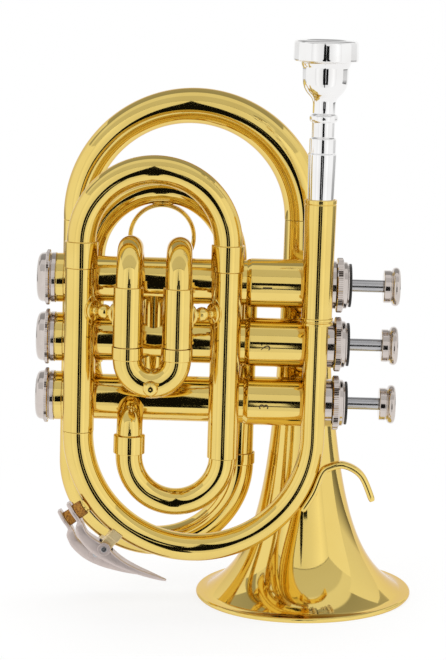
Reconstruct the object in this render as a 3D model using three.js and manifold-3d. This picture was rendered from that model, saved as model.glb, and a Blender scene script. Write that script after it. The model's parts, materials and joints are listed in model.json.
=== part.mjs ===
// Pocket trumpet in lacquered brass, standing on its bell.
// Lengths are millimetres and +Z is up. The front is towards -Y, the buttons face +X.
// The valves, leadpipe and slides lean a little against the upright bell, so they
// are built in a body frame of their own, whose middle is on the second valve's axis.
import * as THREE from "three";
import { mergeVertices } from "three/addons/utils/BufferGeometryUtils.js";
import Module from "manifold-3d";

const wasm = await Module();
wasm.setup();

const quarterTurn = Math.PI / 2;
const halfTurn = Math.PI;
const degree = Math.PI / 180;

// Looks

const lacqueredBrass = { color: 0xe0ac3e, roughness: 0.16, metalness: 1 };
const silverPlate = { color: 0xd8d6d0, roughness: 0.15, metalness: 1 };
const nickel = { color: 0xc9c0b4, roughness: 0.2, metalness: 1 };
const bareSteel = { color: 0x8d8a86, roughness: 0.35, metalness: 1 };
const blackFelt = { color: 0x16140f, roughness: 0.95, metalness: 0 };
const brownCork = { color: 0x9a5a34, roughness: 0.85, metalness: 0 };

// Fits

const jointGap = 0.3; // between pieces that touch or are soldered together
const slideFit = 0.12; // all round a sliding tube or piston
const wallThickness = 0.6;
const spigotLength = 5;
const roundSides = 14;
const tubeSides = 12;
const holeSides = 8;
const wireSides = 4;
const bellSides = 24;

// Where the planes and axes of the wrap lie

const bodyLean = 1.65 * degree;
const bodyHeight = 118.8;
const frontPlane = -17;
const firstSlidePlane = -29.5;
const thirdSlidePlane = 17;
const rearPlane = 30;
const valveSpacing = 25.5;

// Valves, measured along +X from the body's middle

const casingLeft = -112.3;
const casingRingLeft = -107;
const casingRingWidth = 3.2;
const casingShoulder = -24;
const casingShoulderLength = 1.6;
const casingRight = 11.4;
const casingEndLength = 3.8;
const casingRadius = 9.7;
const casingWideRadius = 10.45;
const casingEndRadius = 10;
const pistonRadius = 8.8;
const casingBore = pistonRadius + slideFit;
const capSeatRadius = 9.2;
const capSeatDepth = 7.8;
const portRadius = 4.7;
const portReach = 19;
const knuckleX = -65.5;
const knuckleY = -2.4;

const pistonBottom = -92;
const pistonBodyTop = -34;
const springBarrelTop = 0;
const springBarrelRadius = 8;
const pistonFloor = 1.5;
const guideBottom = -30;
const guideThickness = 2.4;
const guideWidth = 3;
const guideSlotTop = -12;
const guideSlotBottom = -33;
const guideSlotWidth = 3.8;
const stemPlateRadius = 8.2;
const stemPlateThickness = 2.8;
const stemRadius = 2.65;
const stemThreadRadius = 1.8;
const stemThreadLength = 4.2;
const springRadius = 5.9;
const springWire = 0.55;
const springTurns = 4;
const springStepsPerTurn = 6;

const capFlangeRadius = 11.65;
const capFlangeLength = 2.7;
const capCrownRadius = 9.9;
const capCrownLength = 2.6;
const capHoleRadius = stemRadius + jointGap;
const capHollowRadius = 7.8;
const feltRadius = 9.25;
const feltThickness = 0.8;
const buttonBottom = 31.8;
const buttonNeckRadius = 6.95;
const buttonNeckLength = 4.3;
const buttonFlangeRadius = 8.3;
const buttonFlangeLength = 2.6;
const buttonDish = 0.5;
const buttonEdge = 0.6;

const bottomCapEnd = -115.4;
const bottomCapDomeRadius = 7.6;
const bottomCapRadius = 10.7;
const bottomCapFlangeRadius = 11.75;
const bottomCapFlangeLeft = -111.2;
const bottomCapFlangeWidth = 2.4;
const bottomCapVent = 2;
const bottomCapWall = 1.2;
const bottomCapDomeRise = 2.2;

// Mouthpiece, measured down from its rim

const leadpipeX = 3;
const mouthpieceTop = 129.5;
const mouthpieceLength = 88;
const rimRadius = 13.5;
const rimBite = 8.2;
const cupDepth = 13;
const throatRadius = 1.9;
const backboreRadius = 4.2;
const shankEndRadius = 5;
const shankTopRadius = 5.95;

// Receiver and leadpipe

const mouthpieceShown = 65.8;
const receiverTop = mouthpieceTop - mouthpieceShown;
const receiverBottom = 11.1;
const receiverTopRadius = 6.75;
const receiverRadius = 6.45;
const receiverRingRadius = 7.2;
const receiverRingWidth = 1.6;
const shankRoom = 5.5;
const leadpipeTop = mouthpieceTop - mouthpieceLength - shankRoom;
const leadpipeRadius = 5.1;
const leadpipeBore = 4.5;

// Front bow, tuning slide and the small bow to the third valve

const frontBowX = -46.5;
const frontBowZ = -37.1;
const frontBowRadius = 49.5;
const frontBowEndRadius = 6.45;
const tuningBowZ = 43.5;
const tuningBowTube = 6.1;
const tuningFerruleBottom = 32.6;
const tuningFerruleRadius = 6.95;
const tuningLegBottom = -8;
const leftTuningX = frontBowX - frontBowRadius;
const leftTuningRadius = 6.6;
const rightTuningX = -34.9;
const rightTuningRadius = 6.4;
const smallBowZ = -47.1;
const smallBowRadius = 19.7;
const smallBowTube = 5.65;
const entryX = rightTuningX - 2 * smallBowRadius;
const barrelTop = -38;
const barrelRadius = 6.65;
const barrelRise = 1;
const elbowRadius = 9;
const elbowTube = 5.5;
const elbowSweep = 70 * degree;
const elbowReach = 6;

// First valve slide

const firstSlideX = -65.2;
const firstSlideRadius = 10.2;
const firstBowZ = -3.6;
const firstBowTube = 6.1;
const firstTubeBottom = 1.9;
const firstTubeTop = 26.5;
const firstTubeRadius = 6.25;
const firstLegTop = 22;
const firstFerruleRadius = 6.6;
const returnRadius = 13;
const returnTube = 5.4;
const returnZ = 27.9;
const returnPortY = firstSlidePlane + 2 * returnRadius;
const knobRadius = 3.2;
const knobNeckRadius = 1.8;
const knobLength = 5.4;
const knobNeckLength = 2.4;

// Second valve slide, straight out behind

const secondSlideX = -63;
const secondSlideRadius = 10.4;
const secondTubeEnd = 28;
const secondTubeRadius = 6;
const secondBowY = 33.5;
const secondBowTube = 5.6;
const secondLegStart = 13;

// Third valve slide

const thirdSlideX = -63.3;
const thirdBowZ = 32.3;
const thirdBowRadius = 30.7;
const thirdBowTube = 6.2;
const thirdTubeTop = 22;
const thirdTubeRadius = 6.1;
const thirdFerruleRadius = 6.75;
const thirdLegBottom = -6;
const thirdElbowRadius = 12;
const thirdElbowTube = 5.4;
const thirdPortShift = 12;
const fingerRingRadius = 14.6;
const fingerRingWall = 1.7;
const fingerRingWidth = 5.5;

// Bell tail, rear bow, top loop and bell

const tailX = -27;
const tailPortX = 2;
const tailRadius = 6.05;
const tailBendRadius = 14;
const tailBore = 5.3;
const rearBowZ = -59.8;
const rearBowTube = 6.45;
const topLoopRadius = 49.5;
const topLoopZ = 168.8;
const topLoopStartRadius = 6.4;
const topLoopEndRadius = 8.95;
const bellRadius = 48;
const bellFlareLength = 16.4;
const bellFlarePower = 0.7;
const bellLeastRadius = 8.7;
const bellWall = 0.8;
const bellRimWire = 1.1;

// The rear leg leans with the body and ends where the upright top loop starts.
const topLoopLeft = -2 * topLoopRadius;
const topLoopRise = topLoopZ - bodyHeight;
const rearLegX = topLoopLeft * Math.cos(bodyLean) - topLoopRise * Math.sin(bodyLean);
const rearLegTop = topLoopLeft * Math.sin(bodyLean) + topLoopRise * Math.cos(bodyLean);
const rearBowX = (tailX + rearLegX) / 2;
const rearBowRadius = (tailX - rearLegX) / 2;

// Braces, hook and water keys

const braceRodRadius = 1.6;
const braceBallRadius = 2.8;
const braceFlangeRadius = 4.4;
const braceFlangeThickness = 1.1;
const frontBraceZ = 15;
const padRadius = 3.2;
const hookThickness = 2.4;
const hookWidth = 5.2;
const hookFootStart = -34.7 * degree;
const hookFootEnd = -16.1 * degree;
const hookRootX = 10.6;
const hookRootZ = -50.1;
const hookTopX = 17;
const hookTopZ = -48.9;
const hookBendX = 24.4;
const hookBendZ = -53.2;
const hookTipX = 29.4;
const hookTipZ = -64;
const keyCorkAngle = 35.5 * degree;
const keyPivotArm = 17.5;
const frontTailArm = 26.3;
const rearTailArm = 19.5;
const keyWidth = 8.4;
const keyDepth = 12;
const keyPivotHeight = 7.2;
const nippleRadius = 2.6;
const nippleHeight = 1.3;
const nippleBore = 1.5;
const corkRadius = 3.4;
const corkSeatShare = 0.43;
const corkThickness = corkSeatShare * keyDepth - nippleHeight - 2 * jointGap;
const hingeRadius = 2.85;
const hingePinRadius = 0.8;
const hingePlay = 0.1;
const hingeLength = 7.8;
const postThickness = 4;
const postWidth = 5.2;
const postShoulder = 1;
const postRoundRadius = 2.2;
const postPlateTop = 1.3;
const postPlateReach = 5;
const postFoot = 3.6;
const slotRoom = 1;
// A lever's rows: how far along it is (1 at the pivot, 2 at the tail's tip), then its
// width, its underside and its back as shares.
const leverRows = [
  [-0.24, 0.6, corkSeatShare, 0.54],
  [-0.05, 0.86, corkSeatShare, 0.55],
  [0.2, 0.8, corkSeatShare, 0.57],
  [0.27, 0.62, 0.45, 0.81],
  [0.52, 0.66, 0.57, 0.97],
  [0.76, 0.8, 0.52, 1],
  [1, 0.86, 0.45, 0.98],
  [1.27, 0.86, 0.57, 0.91],
  [1.5, 0.8, 0.62, 0.85],
  [1.75, 0.55, 0.66, 0.83],
  [2, 0.16, 0.77, 0.83],
];

function piece(name, geometry, look) {
  const mesh = new THREE.Mesh(geometry, new THREE.MeshStandardMaterial(look));
  mesh.name = name;
  return mesh;
}

function solidOf(geometry) {
  const plain = geometry.clone();
  plain.deleteAttribute("normal");
  plain.deleteAttribute("uv");
  const merged = mergeVertices(plain);
  return new wasm.Manifold(
    new wasm.Mesh({
      numProp: 3,
      vertProperties: new Float32Array(merged.getAttribute("position").array),
      triVerts: new Uint32Array(merged.index.array),
    }),
  );
}

function geometryOf(solid) {
  const mesh = solid.getMesh();
  const geometry = new THREE.BufferGeometry();
  geometry.setAttribute("position", new THREE.BufferAttribute(mesh.vertProperties, mesh.numProp));
  geometry.setIndex(new THREE.BufferAttribute(mesh.triVerts, 1));
  geometry.computeVertexNormals();
  return geometry;
}

function cut(geometry, ...tools) {
  return geometryOf(tools.reduce((left, tool) => left.subtract(solidOf(tool)), solidOf(geometry)));
}

function joined(...geometries) {
  return geometryOf(geometries.map(solidOf).reduce((sum, solid) => sum.add(solid)));
}

function common(left, right) {
  return geometryOf(solidOf(left).intersect(solidOf(right)));
}

// A revolved piece from [radius, height] points: the outside upwards, the inside down.
function revolved(points, sides) {
  const outline = points.map(([radius, height]) => new THREE.Vector2(radius, height));
  const onAxis = points[0][0] === 0;
  if (!onAxis) {
    outline.push(outline[0].clone());
  }
  const distinct = outline.filter((point, index) => index === 0 || !point.equals(outline[index - 1]));
  return new THREE.LatheGeometry(distinct, sides);
}

// Stations are [distance along, outer radius, bore radius].
function tubeOutline(stations) {
  const outside = stations.map(([along, outer]) => [outer, along]);
  const inside = stations.map(([along, , bore]) => [bore, along]).reverse();
  return [...outside, ...inside];
}

function tubeAlongY(stations, sides = tubeSides) {
  return revolved(tubeOutline(stations), sides);
}

function tubeAlongZ(stations, sides = tubeSides) {
  return tubeAlongY(stations, sides).rotateX(quarterTurn);
}

function roundAlongX(points, sides = roundSides) {
  return revolved(points, sides).rotateZ(-quarterTurn);
}

// Stations round a bend that changes evenly from one radius and bore to others.
function bendStations(start, length, steps, from, to) {
  return Array.from({ length: steps + 1 }, (_, step) => {
    const share = step / steps;
    const outer = THREE.MathUtils.lerp(from.outer, to.outer, share);
    const bore = THREE.MathUtils.lerp(from.bore, to.bore, share);
    return [start + length * share, outer, bore];
  });
}

// A tube that rises along a leg at -X, turns towards +X about the origin, and goes on
// along a second leg. Its stations say how thick it is all along.
function bentTube(stations, leg, radius, sweep, sides = tubeSides) {
  const geometry = tubeAlongY(stations, sides);
  const position = geometry.getAttribute("position");
  for (let i = 0; i < position.count; i += 1) {
    const side = position.getX(i);
    const along = position.getY(i) - leg;
    const turned = THREE.MathUtils.clamp(along / radius, 0, sweep);
    const before = Math.min(along, 0);
    const after = Math.max(along - radius * sweep, 0);
    const x = after * Math.sin(turned) - (radius + side) * Math.cos(turned);
    const z = before + after * Math.cos(turned) + (radius + side) * Math.sin(turned);
    position.setXYZ(i, x, position.getZ(i), z);
  }
  return geometry;
}

function rod(radius, from, to, sides = tubeSides) {
  const span = new THREE.Vector3().subVectors(to, from);
  const geometry = new THREE.CylinderGeometry(radius, radius, span.length(), sides);
  const turn = new THREE.Quaternion().setFromUnitVectors(
    new THREE.Vector3(0, 1, 0),
    span.clone().normalize(),
  );
  const middle = new THREE.Vector3().addVectors(from, to).multiplyScalar(0.5);
  return geometry.applyQuaternion(turn).translate(middle.x, middle.y, middle.z);
}

function point(x, y, z) {
  return new THREE.Vector3(x, y, z);
}

// Valve number 1 is the top one.
function valveZ(number) {
  return valveSpacing * (2 - number);
}

// What a tube that meets a casing is cut by, so that it sits on the casing's wall.
function casingClearance(number) {
  const z = valveZ(number);
  const left = point(casingLeft, 0, z);
  const shoulder = point(casingShoulder, 0, z);
  const right = point(casingRight, 0, z);
  return [
    rod(casingRadius + jointGap, left, shoulder, roundSides),
    rod(casingWideRadius + jointGap, shoulder, right, roundSides),
  ];
}

// Each port is a straight hole from a casing's axis out along one of its tubes.
function portsOf(number) {
  const z = valveZ(number);
  const across = (x, y, side) => [point(x, y, z), point(x, y, z + side * portReach)];
  if (number === 1) {
    return [
      across(firstSlideX - firstSlideRadius, returnPortY, 1),
      across(firstSlideX + firstSlideRadius, returnPortY, 1),
      across(knuckleX, knuckleY, -1),
      [point(tailPortX, 0, z), tailHeading().multiplyScalar(portReach).add(point(tailPortX, 0, z))],
    ];
  }
  if (number === 2) {
    const left = secondSlideX - secondSlideRadius;
    const right = secondSlideX + secondSlideRadius;
    return [
      across(knuckleX, knuckleY, 1),
      across(knuckleX, knuckleY, -1),
      [point(left, 0, z), point(left, portReach, z)],
      [point(right, 0, z), point(right, portReach, z)],
    ];
  }
  const heading = point(0, -Math.sin(elbowSweep), -Math.cos(elbowSweep));
  return [
    across(knuckleX, knuckleY, 1),
    [point(entryX, 0, z), heading.multiplyScalar(portReach).add(point(entryX, 0, z))],
    ...[-1, 1].map((side) => {
      const legX = thirdSlideX + side * thirdBowRadius;
      return [point(legX - side * thirdPortShift, 0, z), point(legX, thirdSlidePlane, z)];
    }),
  ];
}

function tailHeading() {
  return point(tailX - tailPortX, rearPlane, 0).normalize();
}

function casing(number) {
  const seatBottom = casingRight - capSeatDepth;
  const outline = [
    [casingRadius, casingLeft],
    [casingRadius, casingRingLeft],
    [casingWideRadius, casingRingLeft],
    [casingWideRadius, casingRingLeft + casingRingWidth],
    [casingRadius, casingRingLeft + casingRingWidth],
    [casingRadius, casingShoulder],
    [casingWideRadius, casingShoulder + casingShoulderLength],
    [casingWideRadius, casingRight - casingEndLength],
    [casingEndRadius, casingRight - casingEndLength],
    [casingEndRadius, casingRight],
    [capSeatRadius, casingRight],
    [capSeatRadius, seatBottom],
    [casingBore, seatBottom],
    [casingBore, casingLeft],
  ];
  const z = valveZ(number);
  const shell = roundAlongX(outline).translate(0, 0, z);
  const drills = portsOf(number).map(([from, to]) => rod(portRadius, from, to, holeSides));
  const guideReach = (casingBore + casingRadius) / 2;
  const guide = new THREE.BoxGeometry(guideThickness, 2 * guideReach, guideWidth);
  guide.translate(guideBottom + guideThickness / 2, 0, z);
  return piece(`valve_${number}_casing`, joined(cut(shell, ...drills), guide), lacqueredBrass);
}

function piston(number) {
  const z = valveZ(number);
  const body = roundAlongX([
    [0, pistonBodyTop - pistonFloor],
    [springBarrelRadius, pistonBodyTop - pistonFloor],
    [springBarrelRadius, pistonBottom],
    [pistonRadius, pistonBottom],
    [pistonRadius, springBarrelTop],
    [springBarrelRadius, springBarrelTop],
    [springBarrelRadius, pistonBodyTop],
    [0, pistonBodyTop],
  ]);
  const slotLength = guideSlotTop - guideSlotBottom;
  const slot = new THREE.BoxGeometry(slotLength, casingWideRadius * 2, guideSlotWidth);
  slot.translate(guideSlotBottom + slotLength / 2, 0, 0);
  const across = (radius, reach) =>
    rod(radius, point(knuckleX, knuckleY, -reach), point(knuckleX, knuckleY, reach), holeSides);
  const limit = rod(
    (pistonRadius + springBarrelRadius) / 2,
    point(pistonBottom, 0, 0),
    point(pistonBodyTop, 0, 0),
    roundSides,
  );
  const tunnel = common(across(portRadius + wallThickness, casingRadius), limit);
  const through = across(portRadius, casingRadius);
  const geometry = cut(joined(body, tunnel), slot, through).translate(0, 0, z);
  return piece(`valve_${number}_piston`, geometry, bareSteel);
}

function stem(number) {
  const plateBottom = springBarrelTop + jointGap;
  const plateTop = plateBottom + stemPlateThickness;
  const threadTop = buttonBottom + stemThreadLength;
  const outline = [
    [0, plateBottom],
    [stemPlateRadius, plateBottom],
    [stemPlateRadius, plateTop],
    [stemRadius, plateTop],
    [stemRadius, buttonBottom - jointGap],
    [stemThreadRadius, buttonBottom - jointGap],
    [stemThreadRadius, threadTop],
    [0, threadTop],
  ];
  const mesh = piece(`valve_${number}_stem`, roundAlongX(outline, tubeSides), bareSteel);
  mesh.position.z = valveZ(number);
  return mesh;
}

function button(number) {
  const neckTop = buttonBottom + buttonNeckLength;
  const top = neckTop + buttonFlangeLength;
  const hole = stemThreadRadius + jointGap;
  const outline = [
    [hole, buttonBottom],
    [buttonNeckRadius, buttonBottom],
    [buttonNeckRadius, neckTop],
    [buttonFlangeRadius, neckTop + buttonEdge],
    [buttonFlangeRadius, top - buttonEdge],
    [buttonFlangeRadius - buttonEdge, top],
    [buttonNeckRadius, top],
    [0, top - buttonDish],
    [0, buttonBottom + stemThreadLength + jointGap],
    [hole, buttonBottom + stemThreadLength + jointGap],
  ];
  const closed = [...outline.slice(8), ...outline.slice(0, 8)];
  const mesh = piece(`valve_${number}_button`, roundAlongX(closed), nickel);
  mesh.position.z = valveZ(number);
  return mesh;
}

function spring(number) {
  const start = guideBottom + guideThickness + springWire + jointGap;
  const end = springBarrelTop - springWire;
  const angle = springTurns * 2 * Math.PI;
  class Helix extends THREE.Curve {
    getPoint(share, target = new THREE.Vector3()) {
      const turn = share * angle;
      const x = THREE.MathUtils.lerp(start, end, share);
      return target.set(x, springRadius * Math.cos(turn), springRadius * Math.sin(turn));
    }
  }
  const section = new THREE.Shape(
    Array.from({ length: wireSides }, (_, side) => {
      const turn = (2 * Math.PI * side) / wireSides;
      return new THREE.Vector2(springWire * Math.cos(turn), springWire * Math.sin(turn));
    }),
  );
  const geometry = new THREE.ExtrudeGeometry(section, {
    steps: springTurns * springStepsPerTurn,
    bevelEnabled: false,
    extrudePath: new Helix(),
  });
  const mesh = piece(`valve_${number}_spring`, geometry, bareSteel);
  mesh.position.z = valveZ(number);
  return mesh;
}

function topCap(number) {
  const spigotEnd = casingRight - capSeatDepth + jointGap;
  const flangeBottom = casingRight + jointGap;
  const flangeTop = flangeBottom + capFlangeLength;
  const crownTop = flangeTop + capCrownLength;
  const outline = [
    [capHoleRadius, flangeBottom],
    [capHollowRadius, flangeBottom],
    [capHollowRadius, spigotEnd],
    [capSeatRadius - jointGap, spigotEnd],
    [capSeatRadius - jointGap, flangeBottom],
    [capFlangeRadius, flangeBottom],
    [capFlangeRadius, flangeTop],
    [capCrownRadius, flangeTop],
    [capCrownRadius, crownTop],
    [capHoleRadius, crownTop],
  ];
  const mesh = piece(`valve_${number}_top_cap`, roundAlongX(outline, tubeSides), nickel);
  mesh.position.z = valveZ(number);
  return mesh;
}

function felt(number) {
  const bottom = casingRight + capFlangeLength + capCrownLength + 2 * jointGap;
  const outline = [
    [capHoleRadius, bottom],
    [feltRadius, bottom],
    [feltRadius, bottom + feltThickness],
    [capHoleRadius, bottom + feltThickness],
  ];
  const mesh = piece(`valve_${number}_felt`, roundAlongX(outline, tubeSides), blackFelt);
  mesh.position.z = valveZ(number);
  return mesh;
}

function bottomCap(number) {
  const flangeRight = bottomCapFlangeLeft + bottomCapFlangeWidth;
  const skirt = casingRingLeft - jointGap;
  const seat = casingRadius + jointGap;
  const outline = [
    [bottomCapVent, bottomCapEnd],
    [bottomCapDomeRadius, bottomCapEnd],
    [bottomCapRadius, bottomCapEnd + bottomCapDomeRise],
    [bottomCapRadius, bottomCapFlangeLeft],
    [bottomCapFlangeRadius, bottomCapFlangeLeft],
    [bottomCapFlangeRadius, flangeRight],
    [bottomCapRadius, flangeRight],
    [bottomCapRadius, skirt],
    [seat, skirt],
    [seat, casingLeft - jointGap],
    [bottomCapVent, bottomCapEnd + bottomCapWall],
  ];
  const mesh = piece(`valve_${number}_bottom_cap`, roundAlongX(outline), nickel);
  mesh.position.z = valveZ(number);
  return mesh;
}

function valve(number) {
  const group = new THREE.Group();
  const makers = [casing, piston, stem, button, spring, topCap, felt, bottomCap];
  makers.forEach((make) => group.add(make(number)));
  return group;
}

// A short tube between two neighbouring casings.
function knuckle(upper) {
  const lower = upper + 1;
  const top = point(knuckleX, knuckleY, valveZ(upper));
  const bottom = point(knuckleX, knuckleY, valveZ(lower));
  const walls = [...casingClearance(upper), ...casingClearance(lower)];
  const bore = rod(portRadius, bottom, top);
  const tube = cut(rod(portRadius + wallThickness, bottom, top), bore, ...walls);
  return piece(`knuckle_${upper}_${lower}`, tube, lacqueredBrass);
}

// Radii of the mouthpiece's outside, at depths below its rim.
function mouthpieceOutside() {
  const rimEdge = 1.1;
  const rimHeight = 8.9;
  const grooveRadius = 10.4;
  const grooveEnd = 11.4;
  const cupTopRadius = 9.25;
  const cupEnd = 24;
  const neckRadius = 4.8;
  const neckEnd = 30.4;
  const beadRadius = 5.9;
  const beadEnd = 33.6;
  const waistEnd = 40.2;
  const waistRadius = 4.7;
  const collarRadius = 5.55;
  const collarEnd = 46.9;
  return [
    [rimRadius - rimEdge, 0],
    [rimRadius, rimEdge],
    [rimRadius, rimHeight - rimEdge],
    [rimRadius - rimEdge, rimHeight],
    [grooveRadius, grooveEnd],
    [cupTopRadius, grooveEnd],
    [neckRadius, cupEnd],
    [neckRadius, neckEnd],
    [beadRadius, neckEnd],
    [beadRadius, beadEnd],
    [waistRadius, beadEnd],
    [waistRadius, waistEnd],
    [collarRadius, waistEnd],
    [collarRadius, collarEnd],
    [shankTopRadius, collarEnd],
    [shankEndRadius, mouthpieceLength],
  ];
}

function mouthpiece() {
  const biteDepth = 1.2;
  const cupShares = [0.4, 0.7, 0.9];
  const throatLength = 9;
  const outside = mouthpieceOutside().map(([radius, depth]) => [radius, -depth]);
  const cup = cupShares.map((share) => [
    THREE.MathUtils.lerp(throatRadius, rimBite, Math.sqrt(1 - share * share)),
    -cupDepth * share,
  ]);
  const inside = [
    [backboreRadius, -mouthpieceLength],
    [throatRadius, -cupDepth - throatLength],
    [throatRadius, -cupDepth],
    ...cup.reverse(),
    [rimBite, -biteDepth],
    [rimBite + biteDepth, 0],
  ];
  const outline = [...outside, ...inside].reverse();
  const geometry = revolved(outline, roundSides).rotateX(quarterTurn);
  const mesh = piece("mouthpiece", geometry, silverPlate);
  mesh.position.set(leadpipeX, frontPlane, mouthpieceTop);
  return mesh;
}

function receiver() {
  const leadpipeSeat = leadpipeRadius + jointGap;
  const seatTop = leadpipeTop + jointGap;
  const shankSeat = shankTopRadius - jointGap;
  const ringTop = receiverBottom + receiverRingWidth;
  const upperRingBottom = receiverTop - 2 * receiverRingWidth;
  const geometry = tubeAlongZ([
    [receiverBottom, receiverRingRadius, leadpipeSeat],
    [ringTop, receiverRingRadius, leadpipeSeat],
    [ringTop, receiverRadius, leadpipeSeat],
    [seatTop, receiverRadius, leadpipeSeat],
    [upperRingBottom, receiverTopRadius, shankSeat],
    [receiverTop, receiverTopRadius, shankSeat + jointGap],
  ]);
  const mesh = piece("receiver", geometry, lacqueredBrass);
  mesh.position.set(leadpipeX, frontPlane, 0);
  return mesh;
}

function leadpipe() {
  const steps = 10;
  const leg = leadpipeTop - frontBowZ;
  const arc = frontBowRadius * halfTurn;
  const spigot = leftTuningRadius - wallThickness - jointGap;
  const end = leg + arc;
  const from = { outer: leadpipeRadius, bore: leadpipeBore };
  const to = { outer: frontBowEndRadius, bore: frontBowEndRadius - wallThickness };
  const spigotBore = spigot - wallThickness;
  const stations = [
    [0, leadpipeRadius, leadpipeBore],
    ...bendStations(leg, arc, steps, from, to).slice(0, -1),
    [end, frontBowEndRadius, spigotBore],
    [end, spigot, spigotBore],
    [end + spigotLength, spigot, spigotBore],
  ];
  const tube = bentTube(stations, leg, frontBowRadius, halfTurn).rotateY(halfTurn);
  const mesh = piece("leadpipe", withNipple(tube, frontKey), lacqueredBrass);
  mesh.position.set(frontBowX, frontPlane, frontBowZ);
  return mesh;
}

function tuningTube(name, x, radius, bottom) {
  const top = tuningFerruleBottom - jointGap;
  const bore = radius - wallThickness;
  const geometry = tubeAlongZ([
    [bottom + jointGap, radius, bore],
    [top, radius, bore],
  ]);
  const mesh = piece(name, geometry, lacqueredBrass);
  mesh.position.set(x, frontPlane, 0);
  return mesh;
}

// A slide: two legs with ferrules, joined by a half-round bow.
function slideGeometry(slide) {
  const leg = slide.legLength;
  const arc = slide.bowRadius * halfTurn;
  const ferruleStart = leg - slide.ferruleLength;
  const end = leg + arc;
  const bow = { outer: slide.bowTube, bore: slide.bowTube - wallThickness };
  const firstBoreRadius = slide.firstLegRadius - wallThickness;
  const secondBoreRadius = slide.secondLegRadius - wallThickness;
  const stations = [
    [0, slide.firstLegRadius, firstBoreRadius],
    [ferruleStart, slide.firstLegRadius, firstBoreRadius],
    [ferruleStart, slide.ferruleRadius, firstBoreRadius],
    [leg, slide.ferruleRadius, bow.bore],
    ...bendStations(leg, arc, slide.steps, bow, bow),
    [end, slide.ferruleRadius, bow.bore],
    [end + slide.ferruleLength, slide.ferruleRadius, secondBoreRadius],
    [end + slide.ferruleLength, slide.secondLegRadius, secondBoreRadius],
    [end + leg, slide.secondLegRadius, secondBoreRadius],
  ];
  return bentTube(stations, leg, slide.bowRadius, halfTurn);
}

function tuningSlide() {
  const middle = (leftTuningX + rightTuningX) / 2;
  const geometry = slideGeometry({
    legLength: tuningBowZ - tuningLegBottom,
    ferruleLength: tuningBowZ - tuningFerruleBottom,
    ferruleRadius: tuningFerruleRadius,
    firstLegRadius: leftTuningRadius - wallThickness - slideFit,
    secondLegRadius: rightTuningRadius - wallThickness - slideFit,
    bowRadius: (rightTuningX - leftTuningX) / 2,
    bowTube: tuningBowTube,
    steps: 8,
  });
  const mesh = piece("tuning_slide", geometry, lacqueredBrass);
  mesh.position.set(middle, frontPlane, tuningBowZ);
  return mesh;
}

function smallBow() {
  const steps = 5;
  const arc = smallBowRadius * halfTurn;
  const spigot = rightTuningRadius - wallThickness - jointGap;
  const bore = smallBowTube - wallThickness;
  const thinBore = spigot - wallThickness;
  const end = spigotLength + arc;
  const bend = { outer: smallBowTube, bore };
  const stations = [
    [0, spigot, thinBore],
    [spigotLength, spigot, thinBore],
    ...bendStations(spigotLength, arc, steps, bend, bend),
    [end + spigotLength, smallBowTube, bore],
  ];
  const geometry = bentTube(stations, spigotLength, smallBowRadius, halfTurn).rotateY(halfTurn);
  const mesh = piece("small_bow", geometry, lacqueredBrass);
  mesh.position.set(rightTuningX - smallBowRadius, frontPlane, smallBowZ);
  return mesh;
}

function entryElbow() {
  const steps = 3;
  const bottom = smallBowZ + barrelRise;
  const leg = barrelTop - bottom;
  const arc = elbowRadius * elbowSweep;
  const seat = smallBowTube + jointGap;
  const seatLength = spigotLength - barrelRise + jointGap;
  const bore = elbowTube - wallThickness;
  const bend = { outer: elbowTube, bore };
  const stations = [
    [0, barrelRadius, seat],
    [seatLength, barrelRadius, seat],
    [seatLength, barrelRadius, bore],
    [leg, barrelRadius, bore],
    ...bendStations(leg, arc, steps, bend, bend),
    [leg + arc + elbowReach, elbowTube, bore],
  ];
  const tube = bentTube(stations, leg, elbowRadius, elbowSweep).rotateZ(quarterTurn);
  tube.translate(entryX, frontPlane + elbowRadius, barrelTop);
  return piece("entry_elbow", cut(tube, ...casingClearance(3)), lacqueredBrass);
}

// An outer tube of the first slide with the bend that returns over the first casing.
function firstTube(name, x) {
  const steps = 5;
  const leg = returnZ - firstTubeBottom;
  const tubeEnd = firstTubeTop - firstTubeBottom;
  const arc = returnRadius * halfTurn;
  const bore = firstTubeRadius - wallThickness;
  const bend = { outer: returnTube, bore: returnTube - wallThickness };
  const stations = [
    [0, firstTubeRadius, bore],
    [tubeEnd - 2 * wallThickness, firstTubeRadius, bore],
    [tubeEnd - 2 * wallThickness, firstTubeRadius, bend.bore],
    [tubeEnd, firstTubeRadius, bend.bore],
    [tubeEnd, returnTube, bend.bore],
    ...bendStations(leg, arc, steps, bend, bend),
  ];
  const tube = bentTube(stations, leg, returnRadius, halfTurn).rotateZ(quarterTurn);
  tube.translate(x, firstSlidePlane + returnRadius, returnZ);
  return piece(name, cut(tube, ...casingClearance(1)), lacqueredBrass);
}

// A pull knob, which stands up from its foot along +Y.
function knob(reach) {
  const edge = knobRadius / 4;
  return revolved(
    [
      [0, 0],
      [knobNeckRadius, 0],
      [knobNeckRadius, reach],
      [knobRadius - edge, reach],
      [knobRadius, reach + edge],
      [knobRadius, reach + knobLength - edge],
      [knobRadius - edge, reach + knobLength],
      [0, reach + knobLength],
    ],
    tubeSides,
  );
}

function firstSlide() {
  const legRadius = firstTubeRadius - wallThickness - slideFit;
  const ferruleLength = firstTubeBottom - jointGap - firstBowZ;
  const bow = slideGeometry({
    legLength: firstLegTop - firstBowZ,
    ferruleLength,
    ferruleRadius: firstFerruleRadius,
    firstLegRadius: legRadius,
    secondLegRadius: legRadius,
    bowRadius: firstSlideRadius,
    bowTube: firstBowTube,
    steps: 6,
  }).rotateY(halfTurn);
  const foot = firstBowTube - wallThickness / 2;
  const handle = knob(knobNeckLength).rotateX(halfTurn).translate(0, -foot, -firstSlideRadius);
  const mesh = piece("first_slide", joined(bow, handle), lacqueredBrass);
  mesh.position.set(firstSlideX, firstSlidePlane, firstBowZ);
  return mesh;
}

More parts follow.
